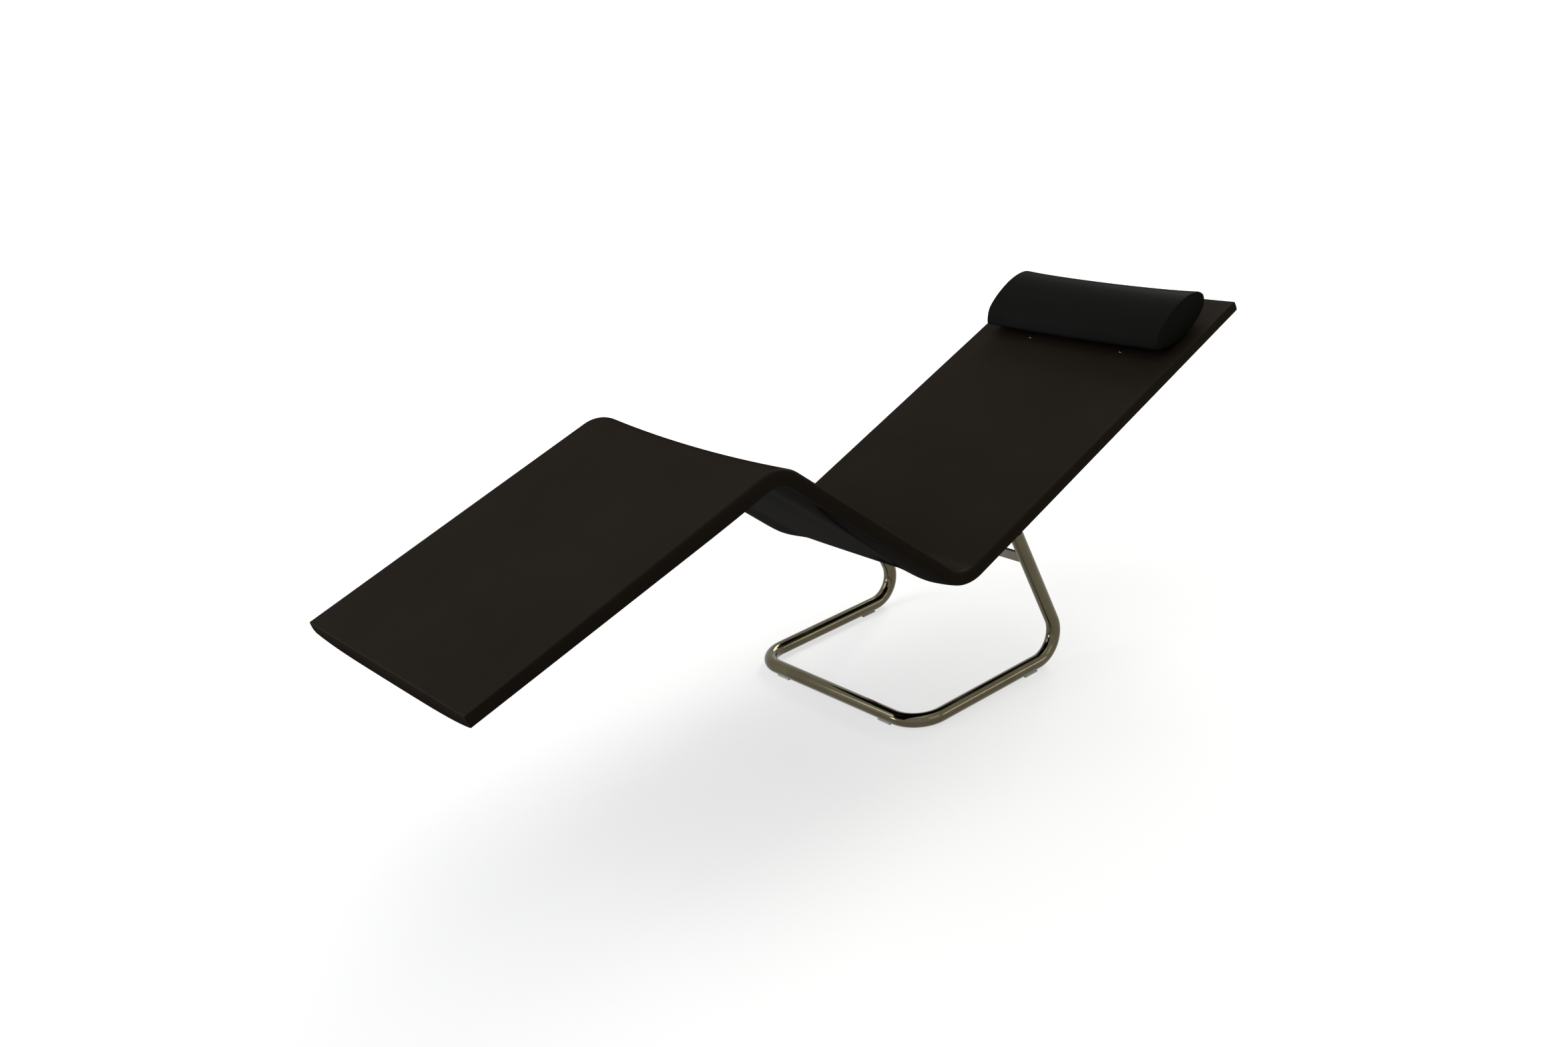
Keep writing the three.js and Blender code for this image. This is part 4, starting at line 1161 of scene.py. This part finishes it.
# Stage: a pale floor that keeps the shadow, a white surround and soft lamps

stage = {
    "floorRadius": 14,
    "rimRadius": 4,
    "floorColour": (0.42, 0.42, 0.42, 1),
    "middleGlow": 0.64,
    "outerGlow": 0.97,  # where the lamps reach no more
    "glowReach": 5,
    "surround": 0.2,
    "sides": 96,
    "rimSteps": 12,
    "lampAim": (0, 0.1, 0.35),
}


def seenRays(owner):
    # 1 for what the camera sees, also in a mirror or through glass, and 0 for light that falls on things
    path = addNode(owner, "ShaderNodeLightPath")
    seen = path.outputs["Is Camera Ray"]
    for kind in ("Is Glossy Ray", "Is Transmission Ray"):
        either = addNode(owner, "ShaderNodeMath", operation="MAXIMUM")
        link(owner, seen, either.inputs[0])
        link(owner, path.outputs[kind], either.inputs[1])
        seen = either.outputs["Value"]
    return seen


def makeFloor():
    # a round floor whose rim curves up all round
    radius, rim, sides = stage["floorRadius"], stage["rimRadius"], stage["sides"]
    profile = [(radius, 0)] + arcPoints(radius, rim, rim, -90, 0, stage["rimSteps"])[1:]
    angles = [2 * math.pi * i / sides for i in range(sides)]
    points = [(r * math.cos(a), r * math.sin(a), z) for r, z in profile for a in angles]
    faces = [list(range(sides))]
    for start in range(0, len(points) - sides, sides):
        for i in range(sides):
            j = (i + 1) % sides
            faces.append([start + i, start + sides + i, start + sides + j, start + j])
    mesh = bpy.data.meshes.new("floor")
    mesh.from_pydata(points, [], faces)
    mesh.shade_smooth()
    mesh.materials.append(paleFloor())
    floor = bpy.data.objects.new("floor", mesh)
    bpy.context.scene.collection.objects.link(floor)


def paleFloor():
    # matt, with a glow that only seen rays meet, and clear from below
    material = bpy.data.materials.new("floorPale")
    material.use_nodes = True
    material.node_tree.nodes.clear()
    matt = addNode(material, "ShaderNodeBsdfDiffuse", {"Color": stage["floorColour"]})
    glow = addNode(material, "ShaderNodeEmission")
    distance = addNode(material, "ShaderNodeVectorMath", operation="LENGTH")
    link(material, objectPlace(material), distance.inputs[0])
    evened = spread(
        material, distance.outputs["Value"], stage["middleGlow"], stage["outerGlow"], 0, stage["glowReach"]
    )
    level = addNode(material, "ShaderNodeMath", operation="MULTIPLY")
    link(material, seenRays(material), level.inputs[0])
    link(material, evened, level.inputs[1])
    link(material, level.outputs["Value"], glow.inputs["Strength"])
    both = addNode(material, "ShaderNodeAddShader")
    link(material, matt.outputs["BSDF"], both.inputs[0])
    link(material, glow.outputs["Emission"], both.inputs[1])
    clear = addNode(material, "ShaderNodeBsdfTransparent")
    below = addNode(material, "ShaderNodeNewGeometry")
    mix = addNode(material, "ShaderNodeMixShader")
    link(material, below.outputs["Backfacing"], mix.inputs[0])
    link(material, both.outputs["Shader"], mix.inputs[1])
    link(material, clear.outputs["BSDF"], mix.inputs[2])
    output = addNode(material, "ShaderNodeOutputMaterial")
    link(material, mix.outputs["Shader"], output.inputs["Surface"])
    return material


def makeSurround():
    # white where it is seen, and a low plain light everywhere else
    world = bpy.data.worlds.new("surround")
    world.use_nodes = True
    background = world.node_tree.nodes["Background"]
    background.inputs["Color"].default_value = (1, 1, 1, 1)
    seen = addNode(world, "ShaderNodeMapRange", {"To Min": stage["surround"], "To Max": 1.0})
    link(world, seenRays(world), seen.inputs["Value"])
    link(world, seen.outputs["Result"], background.inputs["Strength"])
    bpy.context.scene.world = world


lamps = {
    "window": {"place": (-1.7, -2.7, 2.5), "size": (2.4, 2.2), "power": 49, "colour": (0.93, 0.96, 1)},
    "ceiling": {"place": (0.1, -0.1, 3.6), "size": (3.2, 3.2), "power": 26, "colour": (1, 0.985, 0.94)},
    "back": {"place": (-0.9, 3.2, 2.4), "size": (2, 1.6), "power": 100, "colour": (1, 0.985, 0.93)},
    "side": {"place": (3.2, 0.2, 1.6), "size": (1.8, 1.4), "power": 8, "colour": (1, 0.98, 0.95)},
    "frontStrip": {"place": (-1.6, -3.2, 0.5), "size": (0.9, 0.22), "power": 24, "colour": (0.9, 0.93, 1)},
    "rearStrip": {"place": (2.7, 1.9, 0.75), "size": (0.9, 0.22), "power": 5, "colour": (1, 0.99, 0.9)},
}


def makeLamps():
    aim = Vector(stage["lampAim"])
    for name, lamp in lamps.items():
        data = bpy.data.lights.new(name, "AREA")
        data.shape = "RECTANGLE"
        data.size, data.size_y = lamp["size"]
        data.energy = lamp["power"]
        data.color = lamp["colour"]
        obj = bpy.data.objects.new(name, data)
        obj.location = lamp["place"]
        obj.rotation_euler = (aim - obj.location).to_track_quat("-Z", "Y").to_euler()
        bpy.context.scene.collection.objects.link(obj)


makeFloor()
makeSurround()
makeLamps()
bpy.context.scene.view_settings.view_transform = "Standard"
print("stage made")
